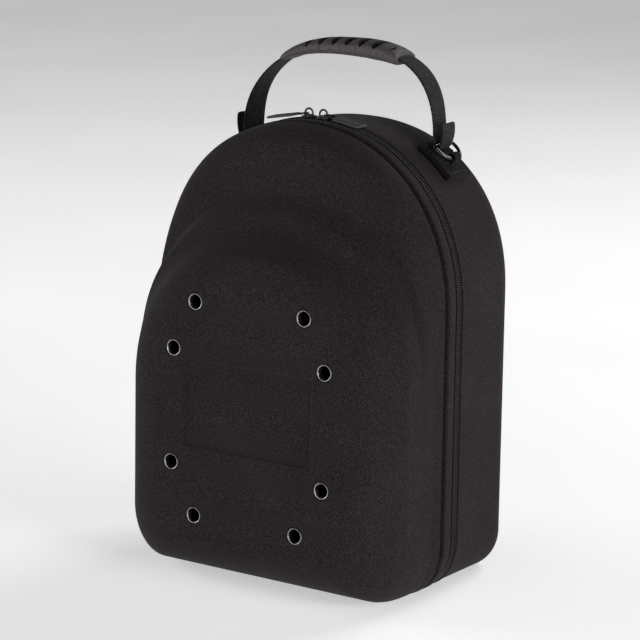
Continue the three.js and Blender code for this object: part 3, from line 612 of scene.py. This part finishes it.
def front_shell():
    profile = smooth_rows(FRONT_LIP, 0.45, [0, 1])
    foot_share = 1.0 / GROOVE_SINK
    rows = [at_depth(rim(i, i if d < 4 else min(i, i * foot_share + 0.2)), FRONT_LIP_Y - d)
            for i, d in profile]
    sections = smooth_rows(FRONT_SECTIONS, 1.7, [0, 1, 5, 6])
    rows += [front_row(row) for row in sections]
    face = rows[-1][:, [0, 2]]
    edge = panel_loop(face, 0)
    for share in np.linspace(0, 1, 27)[1:-1]:
        flat = face + (edge - face) * share
        rows.append(at_depth(flat, face_y(flat[:, 1])))
    for inset, sink in ((0, 0), (0.35, 0.06), (0.75, 0.35), (1.1, 0.8), (1.45, 1.2), (1.8, 1.43),
                        (2.3, PANEL_SINK), (3.4, PANEL_SINK)):
        flat = panel_loop(face, inset)
        rows.append(at_depth(flat, face_y(flat[:, 1]) + sink))
    last = panel_loop(face, 3.4)
    centre = np.array([0, PANEL_CENTRE])
    for share in np.linspace(0, 1, 22)[1:-1]:
        flat = last + (centre - last) * share
        rows.append(at_depth(flat, face_y(flat[:, 1]) + PANEL_SINK - rise(share, 0, 0.5, 0, 0.45)))
    inside = [at_depth(rim(GROOVE_SINK + GROOVE_WALL, SHELL_WALL), FRONT_LIP_Y - depth)
              for depth in INNER_RIM_DEPTHS]
    inside += [front_row(row, SHELL_WALL) for row in smooth_rows(FRONT_SECTIONS[3:], 9.0, [0, 1, 5, 6])]
    shell = mesh_object("front_shell_cloth", [loft(inside[::-1] + rows)], [CLOTH], 40)
    hole = turned([(EYELET_HOLE, -12), (EYELET_HOLE, 0), (EYELET_SEAT, 0), (EYELET_SEAT, 6)], 62)
    for x, z in EYELET_PLACES:
        carve(shell, mesh_object("eyelet_tool", [on_face(hole, x, z, EYELET_SINK)], [CLOTH]))
    soften(shell, 40)
    return placed(shell, "case", "cloth", "front_shell")


def back_wall(inset, depth):
    """The back shell's outline at a depth: its crown falls and its shoulders and corners fill out"""
    share = depth / BACK_DEPTH
    wide = CORNER_WIDE + (BACK_CORNER_WIDE - CORNER_WIDE) * share
    tall = CORNER_TALL + (BACK_CORNER_TALL - CORNER_TALL) * share
    return outline(CASE_WIDTH / 2 - 1 - inset, CASE_HEIGHT - 1 - inset - BACK_CROWN_FALL * share,
                   CASE_HEIGHT - ARCH_RISE, inset, max(wide - inset, 4), max(tall - inset, 4),
                   ARCH_POWER + (BACK_POWER - ARCH_POWER) * share)


def back_shell():
    profile = smooth_rows(BACK_LIP, 0.4, [0, 1])
    rows = [at_depth(rim(i, i if d < 2 else 0.2), BACK_LIP_Y + d) for i, d in profile]
    for depth in np.linspace(11.0, BACK_DEPTH - BACK_ROUNDING, 24)[:-1]:
        rows.append(at_depth(back_wall(0, depth), BACK_LIP_Y + depth))
    for turn in np.linspace(0, np.pi / 2, 22):
        inset = BACK_ROUNDING * (1 - math.cos(turn))
        depth = BACK_DEPTH - BACK_ROUNDING * (1 - math.sin(turn))
        rows.append(at_depth(back_wall(inset, depth), BACK_LIP_Y + depth))
    flat = rows[-1][:, [0, 2]]
    centre = np.array([0, BACK_CENTRE])
    for share in np.linspace(0, 1, 14)[1:-1]:
        rows.append(at_depth(flat + (centre - flat) * share, BACK_LIP_Y + BACK_DEPTH))
    inside = [at_depth(back_wall(SHELL_WALL + inset, depth), BACK_LIP_Y + depth)
              for inset, depth in ((0, 6), (0, 30), (1, 60), (7, 72), (20, 79))]
    shell = mesh_object("back_shell_cloth", [loft(inside[::-1] + rows)], [CLOTH], 40)
    return placed(shell, "case", "cloth", "back_shell")


# Zipper
def rim_path(inset, step, shift=0.0):
    """Points (x, z), ways and outward normals along the rim, from one end of the hinge to the other"""
    loop = rim(inset)
    first = next(i for i, (x, _) in enumerate(loop) if x > HINGE_HALF)
    path = loop[first:len(loop) - first + 1]
    path, at = resample(path, 0.4)
    found = np.arange(shift, at[-1], step)
    spots = np.stack([np.interp(found, at, path[:, i]) for i in (0, 1)], 1)
    way = np.gradient(path, axis=0)
    ways = np.stack([np.interp(found, at, way[:, i]) for i in (0, 1)], 1)
    ways /= np.linalg.norm(ways, axis=1)[:, None]
    return spots, ways, np.stack([ways[:, 1], -ways[:, 0]], 1)


def zipper_teeth():
    parts = []
    turn = 2 * np.pi * (np.arange(8) + 0.5) / 8
    section = TOOTH_RADIUS * np.stack([np.cos(turn), np.sin(turn)], 1)
    for hand in (-1, 1):
        shift = TOOTH_PITCH * (0.7 if hand < 0 else 0.2)
        for p, t, n in zip(*rim_path(COIL_INSET, TOOTH_PITCH, shift)):
            rows = []
            for across, height, size in TOOTH_SPANS:
                slant = TOOTH_SLANT * (TOOTH_REACH - across if hand < 0 else across)
                flat = p + np.outer(section[:, 0] * size + slant, t)
                flat = flat + np.outer(section[:, 1] * size + height, n)
                rows.append(at_depth(flat, SEAM_Y + hand * across))
            parts.append(loft(rows))
    teeth = mesh_object("zipper_teeth", parts, [TEETH], 50)
    return placed(teeth, "case", "coil", "zipper_coil")


def band(corners, step):
    """A band along the rim from pairs of an inset and a place in Y"""
    loops = []
    for inset, y in corners:
        spots, _, _ = rim_path(inset, step)
        loops.append((spots, y))
    size = min(len(spots) for spots, _ in loops)
    shares = np.linspace(0, 1, size)
    columns = []
    for spots, y in loops:
        at = np.linspace(0, 1, len(spots))
        columns.append(at_depth(np.stack([np.interp(shares, at, spots[:, i]) for i in (0, 1)], 1), y))
    return loft([np.array([column[k] for column in columns]) for k in range(size)])


def zipper_tapes():
    reach = COIL_CHANNEL / 2
    far = reach + TAPE_REACH
    corners = [(3.35, -far), (3.35, -reach), (2.3, 0.2 - reach), (2.1, 1.2 - reach), (2.1, reach - 1.2),
               (2.3, reach - 0.2), (3.35, reach), (3.35, far), (4.3, far), (4.3, -far)]
    tapes = mesh_object("zipper_tapes", [band([(i, SEAM_Y + y) for i, y in corners], 2.5)], [TAPE], 50)
    return placed(tapes, "case", "tape", "zipper_tape_front", "zipper_tape_back")


def hinge_cloth():
    """The cloth hinge under the case, with its sewn ends and a soft crease along its middle"""
    rows = []
    for x in np.linspace(-HINGE_HALF, HINGE_HALF, 89):
        edge = min((HINGE_HALF - abs(x)) / 1.2, 1)
        thick = 0.7 * math.sqrt(max(1 - (1 - edge) ** 2, 0.02))
        turn = 2 * np.pi * np.arange(40) / 40
        y = HINGE_REACH * np.sign(np.cos(turn)) * np.abs(np.cos(turn)) ** 0.35
        z = HINGE_INSET + thick * np.sign(np.sin(turn)) * np.abs(np.sin(turn)) ** 0.6
        z += 0.3 * np.exp(-(y / 1.2) ** 2) + 0.05 * math.sin(2 * math.pi * x / 1.6)
        rows.append(np.stack([np.full(40, x), SEAM_Y + y, z], 1))
    cloth = mesh_object("hinge_cloth", [loft(rows)], [TAPE], 60)
    return placed(cloth, "case", "tape", "hinge_strip")


# Sliders and pulls
def slider(side, hand):
    x = SLIDER_CENTRE + hand * SLIDER_OFFSET
    shape = np.array([(-4.8, -3.3), (-4.2, -4.0), (0.5, -4.4), (3.2, -5.0), (4.3, -4.7), (4.8, -3.6),
                      (4.8, 3.6), (4.3, 4.7), (3.2, 5.0), (0.5, 4.4), (-4.2, 4.0), (-4.8, 3.3)])
    shape[:, 0] *= -hand
    shape = resample(np.vstack([shape, shape[:1]]), 0.5)[0][:-1]
    plate = pillow(shape, [(0.5, 0.0), (0.1, 0.05), (0.0, 0.25), (0.0, 0.7), (0.12, 0.9), (0.5, 1.0),
                           (2.6, 1.05)])
    plate = moved(plate, [x, SEAM_Y, PLATE_TOP - 1.0])
    bridge_shape = rounded_rectangle(5.2, 2.2, 1.0, 6)
    bridge = pillow(bridge_shape, [(0.0, 0.0), (0.0, 0.9), (0.25, 1.25), (0.7, 1.4)])
    bridge = moved(bridge, [x, SEAM_Y, PLATE_TOP - 0.1])
    foot = pillow(rounded_rectangle(8.6, 6.8, 1.2, 5), [(0.2, -1.3), (0.0, -1.1), (0.0, 0.2)])
    foot = moved(foot, [x, SEAM_Y, CASE_HEIGHT + CLEARANCE])
    turn = np.linspace(np.pi, 0, 25)
    arch = np.c_[x + BAIL_RADIUS * np.cos(turn), np.full(25, SEAM_Y), BAIL_Z + BAIL_RADIUS * np.sin(turn)]
    legs = [[x - BAIL_RADIUS, SEAM_Y, PLATE_TOP - 0.6], [x - BAIL_RADIUS, SEAM_Y, PLATE_TOP + 0.8]]
    other = [[x + BAIL_RADIUS, SEAM_Y, PLATE_TOP + 0.8], [x + BAIL_RADIUS, SEAM_Y, PLATE_TOP - 0.6]]
    bail = tube(np.vstack([legs, arch, other]), BAIL_WIRE / 2, 14, False)
    obj = mesh_object(f"slider_metal_{side}", [plate, bridge, foot, bail], [GUNMETAL], 45)
    return placed(obj, "case", "dark_metal", f"slider_{side}")


def pulled(part, hand):
    """Moves a part drawn along +X from the middle of the bail to where the pull lies"""
    rows, closed = part
    turn = Matrix.Rotation(hand * PULL_DROOP, 3, "Y") @ Matrix.Rotation(0 if hand > 0 else math.pi, 3, "Z")
    origin = [SLIDER_CENTRE + hand * SLIDER_OFFSET, SEAM_Y, BAIL_Z]
    return rows @ np.array(turn).T + origin, closed


def pull(side, hand):
    middle = LINK_START + LINK_LENGTH / 2
    flat = rounded_rectangle(LINK_LENGTH - LINK_WIRE, LINK_WIDTH - LINK_WIRE, 1.9, 7)[1:]
    path = np.c_[flat[:, 0] + middle, flat[:, 1], np.zeros(len(flat))]
    wire = tube(path, LINK_WIRE / 2, 12)
    shoulder = LINK_START + LINK_LENGTH
    tongue = pillow(rounded_rectangle(7.6, 4.0, 0.8, 5), [(0.2, -0.65), (0, -0.4), (0, 0.4), (0.2, 0.65)])
    parts = [wire, moved(tongue, [shoulder + 3.2, 0, 0])]
    link = mesh_object(f"pull_wire_{side}", [pulled(part, hand) for part in parts], [GUNMETAL], 50)
    placed(link, f"{side}_pull", "dark_metal", f"pull_link_{side}")
    shape = resample(rounded_rectangle(TAB_LENGTH, TAB_WIDTH, 2.5, 8), 0.5)[0][:-1]
    half = TAB_THICK / 2
    profile = [(4.0, -half + 0.3), (1.9, -half + 0.3), (1.5, -half), (0.6, -half), (0.15, -half + 0.2),
               (0.0, -half + 0.6), (0.0, half - 0.6), (0.15, half - 0.2), (0.6, half), (1.5, half),
               (1.9, half - 0.3), (4.0, half - 0.3)]
    start = shoulder + CLEARANCE + TAB_LENGTH / 2
    parts = [moved(pillow(shape, profile), [start, 0, 0])]
    bar = rounded_rectangle(1.1, 8.4, 0.5, 4)
    for face in (-1, 1):
        ridge = pillow(bar, [(0.0, 0.0), (0.0, face * 0.14), (0.25, face * 0.26)])
        for i in range(TAB_RIDGES):
            x = start + RIDGE_PITCH * (i - (TAB_RIDGES - 1) / 2)
            parts.append(moved(ridge, [x, 0, face * (half - 0.32)]))
    tab = mesh_object(f"pull_rubber_{side}", [pulled(part, hand) for part in parts], [TAB], 45)
    return placed(tab, f"{side}_pull", "tab_rubber", f"pull_tab_{side}")


def eyelets():
    profile = [(5.25, -4.6), (5.25, -0.3), (5.3, 0.4), (5.45, 0.8), (5.75, 1.02), (6.1, 1.04),
               (6.35, 0.85), (6.5, 0.55), (6.52, 0.25), (6.4, 0.15), (5.7, 0.15), (5.7, -3.4),
               (6.3, -3.5), (6.4, -4.2), (6.2, -4.6)]
    metal = turned(profile, 56, True)
    for i, (x, z) in enumerate(EYELET_PLACES):
        ring = mesh_object(f"eyelet_ring_{i + 1}", [on_face(metal, x, z, EYELET_SINK)], [EYELET_METAL], 40)
        placed(ring, "case", "dark_metal", f"eyelet_{i + 1}")


# Anchors and rings
def shoulder_point(angle, outset, y=HANDLE_Y):
    """A point on the back shell's arch, and the way out of it"""
    share = (y - BACK_LIP_Y) / BACK_DEPTH
    half = CASE_WIDTH / 2 - 1
    spring = CASE_HEIGHT - ARCH_RISE
    tall = CASE_HEIGHT - 1 - BACK_CROWN_FALL * share - spring
    power = ARCH_POWER + (BACK_POWER - ARCH_POWER) * share
    across, up = math.sin(angle) ** (2 / power), math.cos(angle) ** (2 / power)
    normal = np.array([across ** (power - 1) / half, 0, up ** (power - 1) / tall])
    normal /= np.linalg.norm(normal)
    return np.array([half * across, y, spring + tall * up]) + normal * outset, normal


def twisted(points, hand):
    """Turns what hangs at one side of the handle about an upright axis through the ring's bar. The
    turn fades out up the strap."""
    x, y, z = np.moveaxis(points, -1, 0)
    bar_x, bar_z = hand * BARS[hand][0], BARS[hand][2]
    low, high = TWIST_FADE
    turn = hand * SIDE_TWISTS[hand] * rise(z, bar_z + low, bar_z + high, 1, 0)
    x, y = x - bar_x, y - HANDLE_Y
    return np.stack([bar_x + x * np.cos(turn) - y * np.sin(turn),
                     HANDLE_Y + x * np.sin(turn) + y * np.cos(turn), z], -1)


# The middle of each ring's curved side and of its straight bar, drawn on the right
LOOPS = {hand: shoulder_point(LOOP_ANGLES[hand], LOOP_STANDOFF)[0] for hand in (1, -1)}
BARS = {hand: LOOPS[hand] + RING_HEIGHT * np.array([-math.sin(lean), 0, math.cos(lean)])
        for hand, lean in RING_LEANS.items()}


def mirrored(parts, hand):
    return [(rows * [hand, 1, 1], closed) for rows, closed in parts]


def patch_surface(u, v, outset):
    """A point on the anchor's patch: u runs down the shoulder and v across it, both from -1 to 1"""
    angle = (ANCHOR_START + ANCHOR_END) / 2 + u * (ANCHOR_END - ANCHOR_START) / 2
    return shoulder_point(angle, outset, HANDLE_Y + v * ANCHOR_WIDTH / 2)


def strap_anchor(side, hand):
    rows = []
    count = 44
    turn = 2 * np.pi * np.arange(64) / 64
    for u in np.linspace(-1, 1, count):
        ease = min((1 - abs(u)) * 12, 1)
        full = math.sqrt(max(1 - (1 - ease) ** 2, 0.03))
        row = []
        for c, s in zip(np.cos(turn), np.sin(turn)):
            v = math.copysign(abs(c) ** 0.16, c) * (0.985 + 0.015 * full)
            height = ANCHOR_THICK / 2 * math.copysign(abs(s) ** 0.45, s) * full
            dip = 0.35 * math.exp(-((1 - abs(v)) * ANCHOR_WIDTH / 2 - 3) ** 2 / 1.2) if s > 0 else 0
            row.append(patch_surface(u, v, CLEARANCE + ANCHOR_THICK / 2 + height - dip * full)[0])
        rows.append(np.array(row))
    patch = loft(rows)
    radius = RING_WIRE / 2 + CLEARANCE + LOOP_WALL
    loop = LOOPS[hand]
    neck = shoulder_point(LOOP_ANGLES[hand], CLEARANCE + ANCHOR_THICK * 0.7)[0]
    out = (loop - neck) / np.linalg.norm(loop - neck)
    along = np.array([out[2], 0, -out[0]])
    path = [neck - along * 3.2]
    for a in np.linspace(-0.2 * np.pi, 1.2 * np.pi, 27):
        path.append(loop - along * radius * math.cos(a) + out * radius * math.sin(a))
    path.append(neck + along * 3.2)
    path = resample(np.array(path), 0.5)[0]
    fold, _ = ribbon(path, LOOP_WIDTH, 1.6, 0.0)
    obj = mesh_object(f"anchor_patch_{side}", mirrored([patch, fold], hand), [PATCH], 45)
    placed(obj, "case", "webbing", f"strap_anchor_{side}")
    places, ways, normals = [], [], []
    for start, end, number in (((-0.8, -0.88), (0.8, -0.88), 8), ((0.8, -0.88), (0.8, 0.88), 10),
                               ((0.8, 0.88), (-0.8, 0.88), 8), ((-0.8, 0.88), (-0.8, -0.88), 10),
                               ((0.3, -0.8), (0.3, 0.8), 9)):
        start, end = np.array(start), np.array(end)
        for i in range(number):
            here = start + (end - start) * (i + 0.5) / number
            ahead = start + (end - start) * (i + 0.6) / number
            point, normal = patch_surface(*here, CLEARANCE + ANCHOR_THICK - 0.2)
            way = patch_surface(*ahead, CLEARANCE + ANCHOR_THICK - 0.2)[0] - point
            places.append(point)
            ways.append(way / np.linalg.norm(way))
            normals.append(normal)
    threads = mirrored(stitches(places, ways, normals, 2.3, 0.32), hand)
    seam = mesh_object(f"anchor_stitches_{side}", threads, [THREAD], 80)
    placed(seam, "case", "webbing")


def d_ring(side, hand):
    half = RING_WIDTH / 2
    flat = []
    for u, v, radius, start in ((half - 9, 9, 9, -90), (half - 3, RING_HEIGHT - 3, 3, 0),
                                (3 - half, RING_HEIGHT - 3, 3, 90), (9 - half, 9, 9, 180)):
        for i in range(13):
            turn = math.radians(start + 90 * i / 12)
            flat.append((u + radius * math.cos(turn), v + radius * math.sin(turn)))
    flat = resample(np.vstack([flat, flat[:1]]), 1.0)[0][:-1]
    up = (BARS[hand] - LOOPS[hand]) / RING_HEIGHT
    path = LOOPS[hand] + np.outer(flat[:, 1], up) + np.outer(flat[:, 0], [0, 1, 0])
    rows, closed = mirrored([tube(path, RING_WIRE / 2, 20)], hand)[0]
    obj = mesh_object(f"ring_wire_{side}", [(twisted(rows, hand), closed)], [NICKEL], 60)
    return placed(obj, "case", "ring_metal", f"d_ring_{side}")


# Handle
FOLD_RADIUS = RING_WIRE / 2 + CLEARANCE + STRAP_THICK / 2
HANDLE_SPANS = {hand: BARS[hand][0] - FOLD_RADIUS for hand in (1, -1)}


def handle_point(turn):
    """A point of the handle's curve, which sits a little higher at its right"""
    hand = 1 if turn >= 0 else -1
    power = 2 / HANDLE_ROUNDNESS[hand]
    across, up = abs(math.sin(turn)) ** power, max(math.cos(turn), 0) ** power
    low = BARS[hand][2]
    return np.array([hand * HANDLE_SPANS[hand] * across,
                     low + (HANDLE_TOP - low) * up + hand * HANDLE_SKEW * across * up])


def ribbon(path, width, thick, ripple, corner=0.0):
    """A strap along a path, with rounded edges, ribs across it and rounded corners. Also its UVs."""
    along = np.gradient(path, axis=0)
    along /= np.linalg.norm(along, axis=1)[:, None]
    out = np.stack([-along[:, 2], np.zeros(len(path)), along[:, 0]], 1)
    at = np.r_[0, np.cumsum(np.linalg.norm(np.diff(path, axis=0), axis=1))]
    sides = 30
    turn = 2 * np.pi * (np.arange(sides) + 0.5) / sides
    across = width / 2 * np.sign(np.cos(turn)) * np.abs(np.cos(turn)) ** 0.3
    height = np.sign(np.sin(turn)) * np.abs(np.sin(turn)) ** 0.55
    rows, uv = [], []
    for p, n, s in zip(path, out, at):
        rib = ripple * (abs(math.cos(math.pi * s / RIB_PITCH)) ** 0.7 - 0.6)
        left = min(s, at[-1] - s)
        offset = (thick / 2 + rib) * math.sqrt(min(left / 0.6 + 0.1, 1))
        short = max(1 - left / corner, 0) if corner else 0
        reach = across * (1 - corner * (1 - math.sqrt(1 - short * short)) / (width / 2))
        rows.append(p + np.outer(height * offset, n) + np.outer(reach, [0, 1, 0]))
        uv.append(np.c_[reach / STRAP_WIDTH + 0.5, np.full(sides, s / STRAP_WIDTH)])
    uv = np.vstack(uv + [np.array([[0.5, 0], [0.5, at[-1] / STRAP_WIDTH]])])
    return loft(rows), uv


def strap_half(hand):
    """The strap's route (x, z) from the end of its tail round the ring and up to the top"""
    half = []
    fold_end = 2 * math.pi - TAIL_LEAN
    bar = BARS[hand][[0, 2]]
    start = bar + FOLD_RADIUS * np.array([math.cos(fold_end), math.sin(fold_end)])
    tail = np.array([math.sin(TAIL_LEAN), math.cos(TAIL_LEAN)])
    for share in np.linspace(1, 0, 16)[:-1]:
        bulge = 1.2 * math.sin(math.pi * share)
        half.append(start + tail * TAIL_LENGTHS[hand] * share + [bulge, 0])
    for turn in np.linspace(fold_end, math.pi, 30)[:-1]:
        half.append(bar + FOLD_RADIUS * np.array([math.cos(turn), math.sin(turn)]))
    half = [point * [hand, 1] for point in half]
    for share in np.linspace(0, 1, 120)[:-1]:
        half.append(handle_point(hand * math.pi / 2 * (1 - share**1.5)))
    return half


def strap_path():
    flat = np.array(strap_half(1) + [handle_point(0)] + strap_half(-1)[::-1])
    return resample(np.stack([flat[:, 0], np.full(len(flat), HANDLE_Y), flat[:, 1]], 1), 0.35)[0]


def handle_strap():
    (rows, closed), uv = ribbon(strap_path(), STRAP_WIDTH, STRAP_THICK, RIB_RISE, TAIL_CORNER)
    rows = np.where(rows[..., :1] > 0, twisted(rows, 1), twisted(rows, -1))
    strap = mesh_object("handle_webbing", [(rows, closed)], [WEBBING], 80, uv=uv)
    return placed(strap, "case", "webbing", "handle_strap")


def handle_frame(x):
    """The handle's curve at a distance from its middle: its point and the way out of it"""
    hand = 1 if x >= 0 else -1
    turn = hand * math.asin(min(abs(x) / HANDLE_SPANS[hand], 1) ** (HANDLE_ROUNDNESS[hand] / 2))
    ahead, behind = handle_point(turn + 0.01), handle_point(turn - 0.01)
    way = (ahead - behind) / np.linalg.norm(ahead - behind)
    point = handle_point(turn)
    return np.array([point[0], HANDLE_Y, point[1]]), np.array([-way[1], 0, way[0]])


def grip_point(x, across, height_share):
    """A point of the grip's skin. Its ends are arched: they reach furthest at the middle."""
    end = max(abs(x) - GRIP_HALF + GRIP_END_LONG, 0) / GRIP_END_LONG
    arch = GRIP_END_ARCH * end * (1 - (across / (GRIP_WIDTH / 2)) ** 2) if height_share > 0 else 0
    point, out = handle_frame(x + GRIP_SHIFT - math.copysign(arch, x))
    share = min(abs(x) / GRIP_HALF, 1)
    side = GRIP_OVER if height_share > 0 else GRIP_UNDERS[1 if x >= 0 else -1]
    height = np.interp(share, GRIP_ALONG, side) * height_share
    left = (GRIP_HALF - abs(x)) / GRIP_EDGE
    if left < 1:
        height *= 0.5 + 0.5 * math.sqrt(max(1 - (1 - left) ** 2, 0))
    return point + out * height + np.array([0, across, 0])


def teardrop():
    """A comma-shaped slot: round at its near end, and drawn out to a bent tip at its far end"""
    points = []
    for turn in np.linspace(0, 2 * np.pi, 41)[:-1]:
        reach = math.cos(turn)
        u = 10.5 * reach
        width = 4.4 * math.sin(turn) * (1 - 0.62 * (reach + 1) / 2)
        points.append((width + 0.028 * (u + 4) ** 2 * (1 if u > -4 else 0), u))
    return np.array(points)


def handle_grip():
    turn = 2 * np.pi * (np.arange(56) + 0.5) / 56
    rows = []
    flat_end = GRIP_HALF - GRIP_EDGE
    edge = np.linspace(flat_end, GRIP_HALF - 0.3, 7)
    middle = np.linspace(1 - flat_end, flat_end - 1, 96)
    for x in np.r_[-GRIP_HALF, -edge[::-1], middle, edge, GRIP_HALF]:
        row = []
        for c, s in zip(np.cos(turn), np.sin(turn)):
            across = GRIP_WIDTH / 2 * math.copysign(abs(c) ** 0.9, c)
            row.append(grip_point(x, across, math.copysign(abs(s) ** (0.9 if s > 0 else 0.7), s)))
        rows.append(np.array(row))
    grip = mesh_object("grip_moulding", [loft(rows)], [GRIP, SLOT_PAINTED_SHADE], 40)
    tools = []
    for i in range(SLOTS):
        x = SLOT_PITCH * (i - (SLOTS - 1) / 2) + SLOT_START
        tools.append(slot_tool(teardrop(), x, SLOT_SHIFT))
    bend = np.linspace(-1.1, 1.1, 19)
    crescent = np.vstack([np.c_[3.6 * np.cos(bend), 5.2 * np.sin(bend)],
                          np.c_[0.7 + 0.9 * np.cos(bend), 5.0 * np.sin(bend)][::-1]])
    for hand in (1, -1):
        tools.append(slot_tool(crescent * [hand, 1], hand * CRESCENT_PLACE, CRESCENT_SHIFT))
    carve(grip, mesh_object("slot_tool", tools, [SLOT_PAINTED_SHADE], 60))
    soften(grip, 40)
    return placed(grip, "case", "grip_rubber", "handle_grip")


def slot_tool(shape, x, across):
    """A cutter that follows the top of the grip, from over it down to near the strap"""
    point, out = handle_frame(x + GRIP_SHIFT)
    way = np.array([out[2], 0, -out[0]])
    over = np.interp(abs(x) / GRIP_HALF, GRIP_ALONG, GRIP_OVER)
    rows = []
    for height in (over - 5.2, over + 4.0):
        rows.append(point + out * height + np.outer(shape[:, 0], way)
                    + np.outer(shape[:, 1] + across, [0, 1, 0]))
    return loft(rows)


front_shell()
back_shell()
zipper_teeth()
zipper_tapes()
hinge_cloth()
eyelets()
for side, hand in (("left", -1), ("right", 1)):
    slider(side, hand)
    pull(side, hand)
    strap_anchor(side, hand)
    d_ring(side, hand)
handle_strap()
handle_grip()


# Camera at the photograph's angle
def photo_camera():
    turn, down, roll = math.radians(32.80), math.radians(13.19), math.radians(0.70)
    lens_px, distance = 2596.0, 1994.4
    right = Vector((math.cos(turn), math.sin(turn), 0))
    ahead = Vector((-math.sin(turn) * math.cos(down), math.cos(turn) * math.cos(down), -math.sin(down)))
    target = Vector((0, 3.5, 194.54)) + right * 4.44
    data = bpy.data.cameras.new("photo_camera")
    data.sensor_width = 36.0
    data.lens = lens_px / PICTURE_WIDTH * data.sensor_width
    data.shift_x = -1.74 / PICTURE_WIDTH
    data.shift_y = 1.92 / PICTURE_WIDTH
    camera = bpy.data.objects.new("photo_camera", data)
    bpy.context.collection.objects.link(camera)
    up = right.cross(ahead)
    facing = Matrix((right, up, -ahead)).transposed() @ Matrix.Rotation(roll, 3, "Z")
    camera.matrix_world = Matrix.Translation((target - ahead * distance) * MM) @ facing.to_4x4()
    bpy.context.scene.camera = camera


def floor():
    mesh = bpy.data.meshes.new("floor")
    body = bmesh.new()
    bmesh.ops.create_grid(body, x_segments=1, y_segments=1, size=FLOOR_HALF)
    body.to_mesh(mesh)
    body.free()
    material, tree, shader = shader_tree("pale_floor", {"Roughness": 0.9, "Emission Strength": FLOOR_GLOW})
    place = add(tree, "ShaderNodeTexCoord").outputs["Object"]
    shade = ramp(tree, noise(tree, place, 3.0), [(0.3, "f2f2f2"), (0.7, "f7f7f7")])
    tree.links.new(shade, shader.inputs["Base Color"])
    tree.links.new(shade, shader.inputs["Emission Color"])
    mesh.materials.append(material)
    obj = bpy.data.objects.new("floor", mesh)
    bpy.context.collection.objects.link(obj)


def light(name, place, aim, size, power):
    data = bpy.data.lights.new(name, "AREA")
    data.shape = "RECTANGLE"
    data.size, data.size_y = size
    data.energy = power
    obj = bpy.data.objects.new(name, data)
    obj.location = place
    obj.rotation_euler = (Vector(aim) - Vector(place)).to_track_quat("-Z", "Y").to_euler()
    bpy.context.collection.objects.link(obj)


def studio():
    """A pale horizon and a darker top, with a soft box on each side of the case"""
    world = bpy.data.worlds.new("studio")
    bpy.context.scene.world = world
    world.use_nodes = True
    tree = world.node_tree
    way = add(tree, "ShaderNodeTexCoord").outputs["Generated"]
    up = add(tree, "ShaderNodeSeparateXYZ", {"Vector": way}).outputs["Z"]
    background = tree.nodes["Background"]
    sky = ramp(tree, up, [(0.05, "ffffff"), (0.3, "5c5c5c"), (0.6, "141414")])
    tree.links.new(sky, background.inputs["Color"])
    background.inputs["Strength"].default_value = WORLD_STRENGTH
    light("right_softbox", (2.5, -0.5, 0.7), (0, 0, 0.2), (1.4, 1.4), RIGHT_POWER)
    light("left_softbox", (-2.5, -0.7, 0.7), (0, 0, 0.2), (1.4, 1.4), LEFT_POWER)
    light("rear_softbox", (0.5, 1.9, 1.7), (0, 0, 0.3), (1.2, 0.8), REAR_POWER)
    light("front_softbox", (-0.4, -2.6, 0.6), (0, 0, 0.25), (1.6, 0.7), FRONT_POWER)
    bpy.context.scene.view_settings.view_transform = "Standard"


photo_camera()
floor()
studio()
